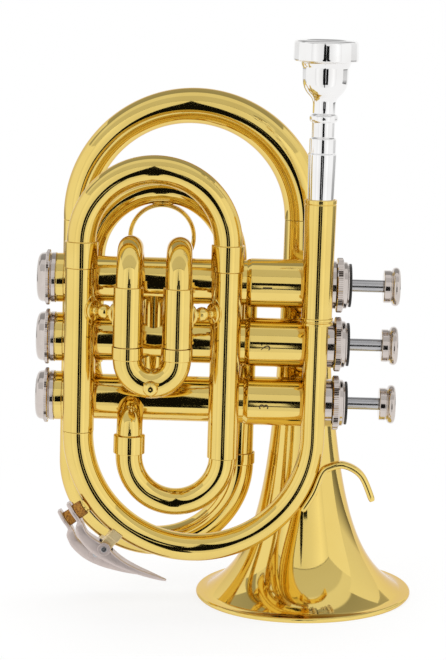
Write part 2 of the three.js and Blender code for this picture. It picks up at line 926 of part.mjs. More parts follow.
function secondTube(name, x) {
  const bore = secondTubeRadius - wallThickness;
  const tube = tubeAlongY([
    [0, secondTubeRadius, bore],
    [secondTubeEnd, secondTubeRadius, bore],
  ]).translate(x, 0, valveZ(2));
  return piece(name, cut(tube, ...casingClearance(2)), lacqueredBrass);
}

function secondSlide() {
  const legRadius = secondTubeRadius - wallThickness - slideFit;
  const bow = slideGeometry({
    legLength: secondBowY - secondLegStart,
    ferruleLength: secondBowY - secondTubeEnd - jointGap,
    ferruleRadius: secondTubeRadius + wallThickness,
    firstLegRadius: legRadius,
    secondLegRadius: legRadius,
    bowRadius: secondSlideRadius,
    bowTube: secondBowTube,
    steps: 6,
  });
  const foot = secondSlideRadius + secondBowTube - wallThickness / 2;
  const handle = knob(knobNeckLength).rotateX(quarterTurn).translate(0, 0, foot);
  const geometry = joined(bow, handle).rotateX(-quarterTurn);
  const mesh = piece("second_slide", geometry, lacqueredBrass);
  mesh.position.set(secondSlideX, secondBowY, valveZ(2));
  return mesh;
}

// An outer tube of the third slide, with the elbow that leads on into the third casing.
function thirdTube(name, side) {
  const steps = 4;
  const x = thirdSlideX + side * thirdBowRadius;
  const elbowZ = valveZ(3) + thirdElbowRadius;
  const leg = thirdTubeTop - elbowZ;
  const arc = thirdElbowRadius * quarterTurn;
  const bore = thirdTubeRadius - wallThickness;
  const bend = { outer: thirdElbowTube, bore: thirdElbowTube - wallThickness };
  const stations = [
    [0, thirdTubeRadius, bore],
    [leg - 2 * wallThickness, thirdTubeRadius, bore],
    [leg - 2 * wallThickness, thirdTubeRadius, bend.bore],
    [leg, thirdTubeRadius, bend.bore],
    ...bendStations(leg, arc, steps, bend, bend),
    [leg + arc + thirdElbowTube, thirdElbowTube, bend.bore],
  ];
  const heading = Math.atan2(-thirdSlidePlane, -side * thirdPortShift);
  const tube = bentTube(stations, leg, thirdElbowRadius, quarterTurn);
  tube.rotateY(halfTurn).translate(-thirdElbowRadius, 0, 0).rotateZ(heading - halfTurn);
  tube.translate(x, thirdSlidePlane, elbowZ);
  return piece(name, cut(tube, ...casingClearance(3)), lacqueredBrass);
}

function thirdSlide() {
  const legRadius = thirdTubeRadius - wallThickness - slideFit;
  const geometry = slideGeometry({
    legLength: thirdBowZ - thirdLegBottom,
    ferruleLength: thirdBowZ - thirdTubeTop - jointGap,
    ferruleRadius: thirdFerruleRadius,
    firstLegRadius: legRadius,
    secondLegRadius: legRadius,
    bowRadius: thirdBowRadius,
    bowTube: thirdBowTube,
    steps: 8,
  });
  const mesh = piece("third_slide", geometry, lacqueredBrass);
  mesh.position.set(thirdSlideX, thirdSlidePlane, thirdBowZ);
  return mesh;
}

function fingerRing() {
  const inner = fingerRingRadius - fingerRingWall;
  const half = fingerRingWidth / 2;
  const geometry = revolved(
    [
      [fingerRingRadius, -half],
      [fingerRingRadius, half],
      [inner, half],
      [inner, -half],
    ],
    roundSides,
  );
  const mesh = piece("finger_ring", geometry, lacqueredBrass);
  const bowUnderside = thirdBowZ + thirdBowRadius - thirdBowTube;
  mesh.position.set(thirdSlideX, thirdSlidePlane, bowUnderside - fingerRingRadius - jointGap);
  return mesh;
}

function bellTail() {
  const steps = 4;
  const run = Math.hypot(tailX - tailPortX, rearPlane);
  const leg = run - tailBendRadius;
  const arc = tailBendRadius * quarterTurn;
  const drop = valveZ(1) - tailBendRadius - rearBowZ - 2 * wallThickness - jointGap;
  const bend = { outer: tailRadius, bore: tailBore };
  const stations = [
    [0, tailRadius, tailBore],
    ...bendStations(leg, arc, steps, bend, bend),
    [leg + arc + drop, tailRadius, tailBore],
  ];
  const tube = bentTube(stations, leg, tailBendRadius, quarterTurn);
  tube.rotateY(quarterTurn);
  const heading = tailHeading();
  tube.rotateZ(Math.atan2(heading.y, heading.x));
  const elbow = heading.clone().multiplyScalar(leg);
  tube.translate(tailPortX + elbow.x, elbow.y, valveZ(1) - tailBendRadius);
  return piece("bell_tail", cut(tube, ...casingClearance(1)), lacqueredBrass);
}

function rearBow() {
  const steps = 9;
  const arc = rearBowRadius * halfTurn;
  const cuff = spigotLength;
  const cuffRadius = tailRadius + jointGap + wallThickness;
  const bore = rearBowTube - wallThickness;
  const rise = rearLegTop - rearBowZ - 2 * jointGap;
  const end = cuff + arc;
  const spigot = topLoopStartRadius - wallThickness - 2 * jointGap;
  const bend = { outer: rearBowTube, bore };
  const shoulder = end + rise;
  const stations = [
    [0, cuffRadius, tailRadius + jointGap],
    [cuff - 2 * wallThickness, cuffRadius, tailRadius + jointGap],
    [cuff - 2 * wallThickness, cuffRadius, bore],
    [cuff, cuffRadius, bore],
    ...bendStations(cuff, arc, steps, bend, bend),
    [shoulder - spigotLength, topLoopStartRadius, bore],
    [shoulder - 2 * wallThickness, topLoopStartRadius, spigot - wallThickness],
    [shoulder, topLoopStartRadius, spigot - wallThickness],
    [shoulder, spigot, spigot - wallThickness],
    [shoulder + spigotLength, spigot, spigot - wallThickness],
  ];
  const tube = bentTube(stations, cuff, rearBowRadius, halfTurn).rotateY(halfTurn);
  const mesh = piece("rear_bow", withNipple(tube, rearKey), lacqueredBrass);
  mesh.position.set(rearBowX, rearPlane, rearBowZ);
  return mesh;
}

function topLoop() {
  const steps = 10;
  const arc = topLoopRadius * halfTurn;
  const from = { outer: topLoopStartRadius, bore: topLoopStartRadius - wallThickness };
  const to = { outer: topLoopEndRadius, bore: topLoopEndRadius - wallThickness };
  const stations = bendStations(0, arc, steps, from, to);
  const mesh = piece("top_loop", bentTube(stations, 0, topLoopRadius, halfTurn), lacqueredBrass);
  mesh.position.set(-topLoopRadius, rearPlane, topLoopZ);
  return mesh;
}

// The bell's outer radius at a height above its rim.
function bellOutside(height) {
  const flare = bellRadius * Math.pow(bellFlareLength / (height + bellFlareLength), bellFlarePower);
  return Math.max(flare, bellLeastRadius);
}

function bell() {
  const rows = 7;
  const rowCrowding = 2.2;
  const rimShares = [
    [-0.45, 0],
    [0.45, 0],
    [1, 0.55],
    [1, 1.45],
    [0.45, 2],
  ];
  const top = topLoopZ - jointGap;
  const rimMiddle = bellRadius - bellRimWire;
  const rim = rimShares.map(([out, up]) => [rimMiddle + out * bellRimWire, up * bellRimWire]);
  const outside = [];
  const inside = [];
  for (let row = 0; row <= rows; row += 1) {
    const height = 2 * bellRimWire + (top - 2 * bellRimWire) * Math.pow(row / rows, rowCrowding);
    const radius = bellOutside(height);
    outside.push([radius, height]);
    inside.unshift([radius - bellWall, height]);
  }
  const spigot = topLoopEndRadius - wallThickness - 3.5 * jointGap;
  const spigotBore = spigot - bellWall;
  inside[0] = [spigotBore, top - spigotLength];
  const outline = [
    ...rim,
    ...outside,
    [spigot, top],
    [spigot, top + spigotLength],
    [spigotBore, top + spigotLength],
    ...inside,
  ];
  const mesh = piece("bell", revolved(outline, bellSides).rotateX(quarterTurn), lacqueredBrass);
  mesh.position.set(0, rearPlane, 0);
  return mesh;
}

// A brace between two tubes: a rod with a ball in its middle and a flange at each end.
function brace(name, from, to, walls) {
  const length = from.distanceTo(to);
  const reach = length / 2 + braceRodRadius;
  const ball = braceBallRadius;
  const half = [
    [braceRodRadius, reach],
    [braceRodRadius, ball],
    [ball * Math.cos(30 * degree), ball * Math.sin(30 * degree)],
    [ball, 0],
  ];
  const lower = half.map(([radius, height]) => [radius, -height]);
  const upper = half.slice(0, -1).reverse();
  const turned = revolved([[0, -reach], ...lower, ...upper, [0, reach]], holeSides);
  const flangeAt = length / 2 - braceFlangeThickness;
  const flanges = [-1, 1].map((side) =>
    rod(
      braceFlangeRadius,
      point(0, side * flangeAt, 0),
      point(0, side * reach, 0),
      holeSides,
    ),
  );
  const span = new THREE.Vector3().subVectors(to, from).normalize();
  const turn = new THREE.Quaternion().setFromUnitVectors(point(0, 1, 0), span);
  const middle = new THREE.Vector3().addVectors(from, to).multiplyScalar(0.5);
  const whole = joined(turned, ...flanges).applyQuaternion(turn);
  whole.translate(middle.x, middle.y, middle.z);
  return piece(name, cut(whole, ...walls), lacqueredBrass);
}

function uprightWall(x, y, radius, bottom, top) {
  return rod(radius + 1.5 * jointGap, point(x, y, bottom), point(x, y, top));
}

function frontBrace(name, side) {
  const slideX = firstSlideX + side * firstSlideRadius;
  const outerX = side < 0 ? leftTuningX : rightTuningX;
  const outerRadius = side < 0 ? leftTuningRadius : rightTuningRadius;
  const slidePoint = point(slideX, firstSlidePlane, frontBraceZ);
  const outerPoint = point(outerX, frontPlane, frontBraceZ);
  const span = new THREE.Vector3().subVectors(outerPoint, slidePoint).normalize();
  const from = slidePoint.clone().addScaledVector(span, firstTubeRadius);
  const to = outerPoint.clone().addScaledVector(span, -outerRadius);
  const walls = [
    uprightWall(slideX, firstSlidePlane, firstTubeRadius, firstTubeBottom, firstTubeTop),
    uprightWall(outerX, frontPlane, outerRadius, firstTubeBottom, firstTubeTop),
  ];
  return brace(name, from, to, walls);
}

// A brace from a casing's back to the bell's stem, which stands upright in the world.
function bellBrace(name, number) {
  const z = valveZ(number);
  const lean = z * Math.sin(bodyLean);
  const height = bodyHeight + z;
  const stemRadiusHere = bellOutside(height) + jointGap;
  const x = -lean;
  const from = point(x, casingWideRadius, z);
  const to = point(x, rearPlane - stemRadiusHere, z);
  const reach = braceFlangeRadius * 2;
  const wall = rod(
    bellOutside(height - braceFlangeRadius) + 2 * jointGap,
    point(x - reach * Math.sin(bodyLean), rearPlane, z - reach),
    point(x + reach * Math.sin(bodyLean), rearPlane, z + reach),
    roundSides,
  );
  return brace(name, from, to, [wall, ...casingClearance(number)]);
}

function leadpipePad() {
  const z = valveZ(2);
  const pad = rod(padRadius, point(leadpipeX, frontPlane, z), point(leadpipeX, 0, z));
  const pipe = uprightWall(leadpipeX, frontPlane, leadpipeRadius, -valveSpacing, valveSpacing);
  return piece("leadpipe_pad", cut(pad, pipe, ...casingClearance(2)), lacqueredBrass);
}

function fingerHook() {
  const footRadius = frontBowRadius + leadpipeRadius + 2 * jointGap + hookThickness / 2;
  const onBow = (angle) =>
    point(frontBowX + footRadius * Math.cos(angle), 0, frontBowZ + footRadius * Math.sin(angle));
  const path = new THREE.CatmullRomCurve3([
    onBow(hookFootStart),
    onBow((hookFootStart + hookFootEnd) / 2),
    onBow(hookFootEnd),
    point(hookRootX, 0, hookRootZ),
    point(hookTopX, 0, hookTopZ),
    point(hookBendX, 0, hookBendZ),
    point(hookTipX, 0, hookTipZ),
  ]);
  const half = hookWidth / 2;
  const section = new THREE.Shape([
    new THREE.Vector2(-half, -hookThickness / 2),
    new THREE.Vector2(half, -hookThickness / 2),
    new THREE.Vector2(half, hookThickness / 2),
    new THREE.Vector2(-half, hookThickness / 2),
  ]);
  const geometry = new THREE.ExtrudeGeometry(section, {
    steps: 16,
    bevelEnabled: false,
    extrudePath: path,
  });
  const mesh = piece("finger_hook", geometry, lacqueredBrass);
  mesh.position.y = frontPlane;
  return mesh;
}

// Water keys sit on the outside of a bow. Angles run from the bow's left end down.
const keyTubeShare = 1 - keyCorkAngle / halfTurn;
const frontKey = {
  name: "front_key",
  centre: point(frontBowX, frontPlane, frontBowZ),
  bowRadius: frontBowRadius,
  tubeRadius: THREE.MathUtils.lerp(leadpipeRadius, frontBowEndRadius, keyTubeShare),
  tailArm: frontTailArm,
};
const rearKey = {
  name: "rear_key",
  centre: point(rearBowX, rearPlane, rearBowZ),
  bowRadius: rearBowRadius,
  tubeRadius: rearBowTube,
  tailArm: rearTailArm,
};

function outward(angle, radius) {
  return point(-radius * Math.cos(angle), 0, -radius * Math.sin(angle));
}

// The raised hole that a key's cork closes.
function withNipple(tube, key) {
  const surface = key.bowRadius + key.tubeRadius;
  const foot = outward(keyCorkAngle, surface - wallThickness * 0.75);
  const top = outward(keyCorkAngle, surface + nippleHeight);
  const inside = outward(keyCorkAngle, key.bowRadius);
  const outside = outward(keyCorkAngle, surface + 2 * nippleHeight);
  const nipple = rod(nippleRadius, foot, top, holeSides);
  return cut(joined(tube, nipple), rod(nippleBore, inside, outside, holeSides));
}

function pivotAngle(key) {
  return keyCorkAngle + keyPivotArm / (key.bowRadius + key.tubeRadius);
}

// Upright at the pivot: X along the bow, Y across it, Z away from it.
function setOnBow(geometry, key) {
  return geometry.rotateY(-quarterTurn - pivotAngle(key));
}

// The lever: a deep blade that follows the bow and straddles the post.
function keyLever(key) {
  const surface = key.bowRadius + key.tubeRadius;
  const along = (station) =>
    station < 1 ? station * keyPivotArm : keyPivotArm + (station - 1) * key.tailArm;
  const right = leverRows.map(
    ([station, width]) => new THREE.Vector2((width * keyWidth) / 2, along(station)),
  );
  const left = right.map(({ x, y }) => new THREE.Vector2(-x, y)).reverse();
  const blade = new THREE.ExtrudeGeometry(new THREE.Shape([...right, ...left]), {
    depth: 1,
    bevelEnabled: false,
  });
  const position = blade.getAttribute("position");
  for (let i = 0; i < position.count; i += 1) {
    const way = position.getY(i);
    const nearHere = ([station]) => Math.abs(along(station) - way) < jointGap / 10;
    const [, , underside, back] = leverRows.find(nearHere);
    const height = keyDepth * THREE.MathUtils.lerp(underside, back, position.getZ(i));
    const spot = outward(keyCorkAngle + way / surface, surface + height);
    position.setXYZ(i, spot.x, position.getX(i), spot.z);
  }
  const pivot = outward(pivotAngle(key), surface + keyPivotHeight);
  const ends = (reach) => [pivot.clone().setY(-reach), pivot.clone().setY(reach)];
  const barrel = rod(hingeRadius, ...ends(hingeLength / 2), holeSides);
  const bore = rod(hingePinRadius + hingePlay, ...ends(hingeLength), holeSides);
  const slotTop = keyPivotHeight + postRoundRadius + jointGap;
  const slot = new THREE.BoxGeometry(
    postWidth + 2 * slotRoom,
    postThickness + 2 * jointGap,
    2 * slotTop,
  );
  slot.translate(0, 0, surface);
  const whole = cut(joined(blade, barrel), bore, setOnBow(slot, key));
  const mesh = piece(`${key.name}_lever`, whole, nickel);
  mesh.position.copy(key.centre);
  return mesh;
}

function keyCork(key) {
  const bottom = key.bowRadius + key.tubeRadius + nippleHeight + jointGap / 3;
  const from = outward(keyCorkAngle, bottom);
  const to = outward(keyCorkAngle, bottom + corkThickness);
  const mesh = piece(`${key.name}_cork`, rod(corkRadius, from, to), brownCork);
  mesh.position.copy(key.centre);
  return mesh;
}

// The post: a block on a saddle, with a round end and the pin through it.
function keyPost(key) {
  const surface = key.bowRadius + key.tubeRadius;
  const ends = (reach) => [
    point(0, -reach, surface + keyPivotHeight),
    point(0, reach, surface + keyPivotHeight),
  ];
  const onSurface = (thickness, top) => {
    const block = new THREE.BoxGeometry(postWidth, thickness, top + postFoot);
    return block.translate(0, 0, surface + (top - postFoot) / 2);
  };
  const block = onSurface(postThickness, keyPivotHeight - postShoulder);
  const plate = onSurface(2 * postPlateReach, postPlateTop);
  const round = rod(postRoundRadius, ...ends(postThickness / 2), holeSides);
  const pin = rod(hingePinRadius, ...ends(hingeLength / 2 + jointGap), holeSides);
  const tube = rod(
    key.tubeRadius + jointGap,
    point(-2 * postWidth, 0, key.bowRadius),
    point(2 * postWidth, 0, key.bowRadius),
    roundSides,
  );
  const whole = cut(joined(block, plate, round, pin), tube);
  const mesh = piece(`${key.name}_post`, setOnBow(whole, key), lacqueredBrass);
  mesh.position.copy(key.centre);
  return mesh;
}

function waterKey(key) {
  const group = new THREE.Group();
  group.add(keyLever(key), keyCork(key), keyPost(key));
  return group;
}

const horn = new THREE.Group();
const body = new THREE.Group();
body.position.z = bodyHeight;
body.rotation.y = bodyLean;
horn.add(body, topLoop(), bell());
[1, 2, 3].forEach((number) => body.add(valve(number)));
[1, 2].forEach((upper) => body.add(knuckle(upper)));
body.add(
  mouthpiece(),
  receiver(),
  leadpipe(),
  tuningTube("tuning_tube_left", leftTuningX, leftTuningRadius, frontBowZ),
  tuningTube("tuning_tube_right", rightTuningX, rightTuningRadius, smallBowZ),
  tuningSlide(),
  smallBow(),
  entryElbow(),
  firstTube("first_tube_left", firstSlideX - firstSlideRadius),
  firstTube("first_tube_right", firstSlideX + firstSlideRadius),
  firstSlide(),
  secondTube("second_tube_left", secondSlideX - secondSlideRadius),
  secondTube("second_tube_right", secondSlideX + secondSlideRadius),
  secondSlide(),
  thirdTube("third_tube_left", -1),
  thirdTube("third_tube_right", 1),
  thirdSlide(),
  fingerRing(),
  bellTail(),
  rearBow(),
  frontBrace("brace_left", -1),
  frontBrace("brace_right", 1),
  bellBrace("bell_brace_upper", 2),
  bellBrace("bell_brace_lower", 3),
  leadpipePad(),
  fingerHook(),
  waterKey(frontKey),
  waterKey(rearKey),
);

// The part's own origin is on the floor, under the middle of its box.
const bounds = new THREE.Box3().setFromObject(horn, true);
const middle = bounds.getCenter(new THREE.Vector3());
horn.position.set(-middle.x, -middle.y, -bounds.min.z);

export default horn;
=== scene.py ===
# %% [markdown]
# # A pocket trumpet in the studio
# The trumpet stands on its bell. Every tube, valve and slide already exists as a packed
# solid with true sizes, but those solids are faceted. This lesson dresses them: each one
# is rebuilt as a smooth, finely edged mesh in the same place, gets its metal, and then
# the whole is lit like a polished instrument in a white tent.

import json
import math

import bmesh
import bpy
from mathutils import Matrix, Vector


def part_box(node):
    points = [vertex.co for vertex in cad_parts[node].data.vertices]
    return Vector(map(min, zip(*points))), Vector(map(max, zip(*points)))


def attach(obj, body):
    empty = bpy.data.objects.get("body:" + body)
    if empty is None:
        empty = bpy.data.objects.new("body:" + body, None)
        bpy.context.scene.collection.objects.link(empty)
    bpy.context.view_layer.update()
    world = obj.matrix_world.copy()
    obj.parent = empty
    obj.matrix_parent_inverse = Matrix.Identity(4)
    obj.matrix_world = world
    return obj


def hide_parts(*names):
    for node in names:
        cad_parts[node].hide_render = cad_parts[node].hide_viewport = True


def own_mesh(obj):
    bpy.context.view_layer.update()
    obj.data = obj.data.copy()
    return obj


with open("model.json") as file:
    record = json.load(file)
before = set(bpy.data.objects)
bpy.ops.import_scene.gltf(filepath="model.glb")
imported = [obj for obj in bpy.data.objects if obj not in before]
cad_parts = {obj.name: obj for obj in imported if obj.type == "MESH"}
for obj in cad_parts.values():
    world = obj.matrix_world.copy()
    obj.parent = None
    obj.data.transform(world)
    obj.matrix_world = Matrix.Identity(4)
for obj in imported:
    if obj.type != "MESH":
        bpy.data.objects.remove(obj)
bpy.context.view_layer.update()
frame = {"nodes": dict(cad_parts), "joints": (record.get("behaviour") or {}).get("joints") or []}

# %% [markdown]
# The bell stands upright, and everything else leans a little against it. The valves'
# presses run along the leaning frame's own X axis, so the lean is read from one of
# them. Two matrices then carry millimetres in either frame to metres in the scene.

# %% The upright frame and the leaning frame
MM = 0.001
BODY_HEIGHT = 118.8
REAR_PLANE = 30
press = next(joint for joint in frame["joints"] if joint["name"] == "valve_2_press")
lean = math.asin(Vector(press["axis"]).normalized().z)
bell_low, bell_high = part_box("bell")
bell_middle = (bell_low + bell_high) / 2
upright = Matrix.Translation((bell_middle.x, bell_middle.y - REAR_PLANE * MM, 0)) @ Matrix.Scale(MM, 4)
leaning = upright @ Matrix.Translation((0, 0, BODY_HEIGHT)) @ Matrix.Rotation(lean, 4, "Y")
print("lean in degrees:", round(math.degrees(lean), 3))

# %% [markdown]
# Polished brass has no hard edges: every rim and shoulder is slightly rounded, and that
# is where the light catches. An outline here is a list of (radius, height) points. This
# helper rounds its corners with short curves before it is turned into a solid. Where
# there is room it sets one more point beside the curve, so that the long flat side keeps
# an even shading right up to its rounded edge.

# %% Rounding the corners of an outline
EASE = 0.22
EASE_STEPS = 3
EASE_SHARE = 0.45
FLAT_CORNER = math.radians(165)
SUPPORT = 1.5
SUPPORT_ROOM = 4


def box_outline(left, right, low, high):
    return [(left, low), (right, low), (right, high), (left, high)]


def eased(points, ease=EASE, closed=True):
    rounded = []
    count = len(points)
    for index, point in enumerate(points):
        here = Vector(point)
        before = Vector(points[index - 1]) - here
        after = Vector(points[(index + 1) % count]) - here
        at_end = not closed and index in (0, count - 1)
        if at_end or min(before.length, after.length) < 1e-6 or before.angle(after) > FLAT_CORNER:
            rounded.append(here)
            continue
        reach = min(ease, EASE_SHARE * before.length, EASE_SHARE * after.length)
        start = here + before.normalized() * reach
        end = here + after.normalized() * reach
        if before.length > SUPPORT_ROOM * reach:
            rounded.append(here + before.normalized() * reach * SUPPORT)
        for step in range(EASE_STEPS + 1):
            share = step / EASE_STEPS
            rounded.append(start.lerp(here, share).lerp(here.lerp(end, share), share))
        if after.length > SUPPORT_ROOM * reach:
            rounded.append(here + after.normalized() * reach * SUPPORT)
    return rounded


print("a square's corner becomes", EASE_STEPS + 1, "points")

# %% [markdown]
# Most of a trumpet is turned on a lathe or drawn as tube, so one helper revolves an
# outline round Z. Such a mesh is rings of vertices with a skin of faces over them.
# Long runs are divided first, because a bend needs rings to bend at.

# %% Revolving an outline
SIDES = 56


def divided(points, longest):
    fine = []
    count = len(points)
    for index, point in enumerate(points):
        following = points[(index + 1) % count]
        pieces = max(1, math.ceil((following - point).length / longest))
        fine.extend(point.lerp(following, piece / pieces) for piece in range(pieces))
    return fine


def skin(rings, around, closed=True):
    """Faces between rings of vertices. An open row of rings gets a face over each end."""
    faces = []
    for ring in range(rings if closed else rings - 1):
        low = ring * around
        high = (ring + 1) % rings * around
        for step in range(around):
            beside = (step + 1) % around
            faces.append((low + step, low + beside, high + beside, high + step))
    if not closed:
        faces.append(tuple(range(around)))
        faces.append(tuple(range((rings - 1) * around, rings * around)))
    return faces


def revolved(outline, sides=SIDES):
    """A closed outline of (radius, height), revolved round Z, as vertices and faces."""
    vertices = []
    for radius, height in outline:
        for side in range(sides):
            turn = 2 * math.pi * side / sides
            vertices.append(Vector((radius * math.cos(turn), radius * math.sin(turn), height)))
    return vertices, skin(len(outline), sides)


print("sides round each turned piece:", SIDES)

# %% [markdown]
# A finished piece is a mesh, a place, a metal and a body that it moves with. Points that
# fall together, such as those on a turned solid's own axis, are merged here, and edges
# sharper than a bend are kept crisp while all else shades smoothly.

# %% Making a piece from vertices and faces
CRISP = math.radians(38)
MERGED = 0.002 * MM


def smooth(mesh):
    mesh.polygons.foreach_set("use_smooth", [True] * len(mesh.polygons))
    mesh.set_sharp_from_angle(angle=CRISP)


def built_mesh(name, shape, place):
    mesh = bpy.data.meshes.new(name)
    mesh.from_pydata([place @ vertex for vertex in shape[0]], [], shape[1])
    edit = bmesh.new()
    edit.from_mesh(mesh)
    bmesh.ops.remove_doubles(edit, verts=edit.verts, dist=MERGED)
    bmesh.ops.dissolve_degenerate(edit, edges=edit.edges, dist=MERGED / 2)
    bmesh.ops.recalc_face_normals(edit, faces=edit.faces)
    edit.to_mesh(mesh)
    edit.free()
    return mesh


def new_object(name, data):
    thing = bpy.data.objects.new(name, data)
    bpy.context.scene.collection.objects.link(thing)
    return thing


def final_mesh(thing):
    """The mesh of an object with its modifiers or its text worked out."""
    return bpy.data.meshes.new_from_object(thing.evaluated_get(bpy.context.evaluated_depsgraph_get()))


def make_piece(name, shape, place, finish, body="horn", stands_for=()):
    mesh = built_mesh(name, shape, place)
    mesh.materials.append(finish)
    smooth(mesh)
    piece = new_object(name, mesh)
    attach(piece, body)
    if stands_for:
        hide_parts(*stands_for)
    return piece


print("edges over", round(math.degrees(CRISP)), "degrees stay crisp")

# %% [markdown]
# A drawn tube is bent round a former, so its section stays round while its line turns.
# A station says how far along the tube it is, the outer radius there and the bore. The
# tube rises along a leg, turns about the origin towards +X, and runs on along a second
# leg, exactly as the solids' bends do.

# %% Straight and bent tubes
RING_SPACING = 1.6


def tube_outline(stations, ease=EASE):
    outside = [(outer, along) for along, outer, bore in stations]
    inside = [(bore, along) for along, outer, bore in reversed(stations)]
    return eased(outside + inside, ease)


def straight_tube(stations, ease=EASE):
    return revolved(tube_outline(stations, ease))


def bent_tube(stations, leg, radius, sweep=math.pi, ease=EASE):
    outline = divided(tube_outline(stations, ease), RING_SPACING)
    vertices, faces = revolved(outline)
    bent = []
    for vertex in vertices:
        along = vertex.z - leg
        turned = min(max(along / radius, 0), sweep)
        before = min(along, 0)
        after = max(along - radius * sweep, 0)
        reach = radius + vertex.x
        x = after * math.sin(turned) - reach * math.cos(turned)
        z = before + after * math.cos(turned) + reach * math.sin(turned)
        bent.append(Vector((x, vertex.y, z)))
    return bent, faces


def at(x, y, z, turn_y=0, turn_z=0):
    turned = Matrix.Rotation(turn_z, 4, "Z") @ Matrix.Rotation(turn_y, 4, "Y")
    return Matrix.Translation((x, y, z)) @ turned


def moved(shape, matrix):
    return [matrix @ vertex for vertex in shape[0]], shape[1]


print("rings along a bend are", RING_SPACING, "mm apart")

# %% [markdown]
# ## Metals
# Lacquered yellow brass is a clear mirror with a strong colour. It mirrors the tent once
# as pale gold, and where tubes mirror each other the colour deepens to amber by itself.
# The finish needs only faint, large drifts in tone and polish, so noise moves the colour
# and the roughness a little, and a very shallow bump makes long reflections waver. A
# metal seen at a slant turns white, and the edge colour keeps brass warm there.
#
# A material is a small graph of nodes. The helpers below start one, add a node with its
# settings, join two sockets and lay colours along a ramp.

# %% Helpers for materials
def new_material(name):
    material = bpy.data.materials.new(name)
    material.use_nodes = True
    return material, material.node_tree


def add_node(tree, kind, **settings):
    """A new node. An underscore in a setting's name stands for a space in the socket's."""
    node = tree.nodes.new("ShaderNode" + kind)
    for setting, value in settings.items():
        node.inputs[setting.replace("_", " ")].default_value = value
    return node


def join(tree, source, output, target, socket):
    tree.links.new(source.outputs[output], target.inputs[socket])


def colour_ramp(tree, stops):
    """A ramp node with one colour per stop, each stop being (position, colour)."""
    ramp = add_node(tree, "ValToRGB")
    elements = ramp.color_ramp.elements
    while len(elements) < len(stops):
        elements.new(1)
    for element, (position, colour) in zip(elements, stops):
        element.position = position
        element.color = (*colour, 1)
    return ramp


RELIEF = 0.1 * MM
print("bumps are at most", RELIEF / MM, "mm high")

# %% A metal with slight drifts in tone and polish
def metal(name, dark, light, rough, spread, drift_size, bump, coat=0.0, edge=(1, 1, 1)):
    material, tree = new_material(name)
    shader = tree.nodes["Principled BSDF"]
    shader.inputs["Metallic"].default_value = 1
    shader.inputs["Coat Weight"].default_value = coat
    shader.inputs["Coat Roughness"].default_value = 0.03
    shader.inputs["Specular Tint"].default_value = (*edge, 1)
    place = add_node(tree, "TexCoord")
    drift = add_node(tree, "TexNoise", Scale=1 / (drift_size * MM), Detail=3)
    join(tree, place, "Object", drift, "Vector")
    tone = colour_ramp(tree, [(0.35, dark), (0.65, light)])
    join(tree, drift, "Fac", tone, "Fac")
    join(tree, tone, "Color", shader, "Base Color")
    smear = add_node(tree, "TexNoise", Scale=3 / (drift_size * MM), Detail=5, Roughness=0.65)
    join(tree, place, "Object", smear, "Vector")
    polish = add_node(tree, "MapRange", From_Min=0.3, From_Max=0.75, To_Min=rough, To_Max=rough + spread)
    join(tree, smear, "Fac", polish, "Value")
    join(tree, polish, "Result", shader, "Roughness")
    ripple = add_node(tree, "Bump", Strength=bump, Distance=RELIEF)
    join(tree, drift, "Fac", ripple, "Height")
    join(tree, ripple, "Normal", shader, "Normal")
    return material


def brass_part(node, making, shape, place, body="horn"):
    """A brass piece that takes one solid's place and is named after how it is made."""
    return make_piece(f"{node}_{making}", shape, place, brass, body, [node])


WARM_EDGE = (0.75, 0.55, 0.25)
deep = (0.81, 0.595, 0.15)
pale = (0.84, 0.63, 0.17)
brass = metal("lacquered_brass", deep, pale, 0.03, 0.04, 14, 0.03, 0.7, WARM_EDGE)
bell_brass = metal("spun_brass", deep, pale, 0.035, 0.05, 30, 0.05, 0.7, WARM_EDGE)
nickel = metal("polished_nickel", (0.60, 0.54, 0.50), (0.66, 0.595, 0.555), 0.06, 0.08, 9, 0.05)
cast_brass = metal("cast_brass", (0.88, 0.69, 0.36), (0.94, 0.76, 0.43), 0.3, 0.12, 5, 0.1, 0.3)
satin_nickel = metal("satin_nickel", (0.60, 0.515, 0.485), (0.66, 0.57, 0.535), 0.34, 0.1, 7, 0.05)
silver = metal("silver_plate", (0.88, 0.87, 0.86), (0.92, 0.915, 0.91), 0.03, 0.05, 12, 0.04)
steel = metal("ground_steel", (0.45, 0.45, 0.465), (0.50, 0.495, 0.50), 0.12, 0.08, 6, 0.03)
print("metals:", [m.name for m in (brass, bell_brass, cast_brass, nickel, satin_nickel, silver, steel)])

# %% [markdown]
# The soft and dull finishes are built one by one: black felt under each button, brown
# cork in the water keys, mother of pearl in the buttons, and a flat dark colour laid over
# each engraved digit. Each has the grain that its real material shows.

# %% Felt, cork, pearl and engraving
def dull(name, colours, rough, grain_size, bump=0.4, sheen=0.0, coat=0.0):
    material, tree = new_material(name)
    shader = tree.nodes["Principled BSDF"]
    shader.inputs["Roughness"].default_value = rough
    shader.inputs["Sheen Weight"].default_value = sheen
    shader.inputs["Coat Weight"].default_value = coat
    place = add_node(tree, "TexCoord")
    grain = add_node(tree, "TexNoise", Scale=1 / (grain_size * MM))
    join(tree, place, "Object", grain, "Vector")
    last = len(colours) - 1
    tone = colour_ramp(tree, [(0.3 + 0.4 * index / last, colour) for index, colour in enumerate(colours)])
    join(tree, grain, 0, tone, "Fac")
    join(tree, tone, "Color", shader, "Base Color")
    relief = add_node(tree, "Bump", Strength=bump, Distance=RELIEF)
    join(tree, grain, 0, relief, "Height")
    join(tree, relief, "Normal", shader, "Normal")
    return material


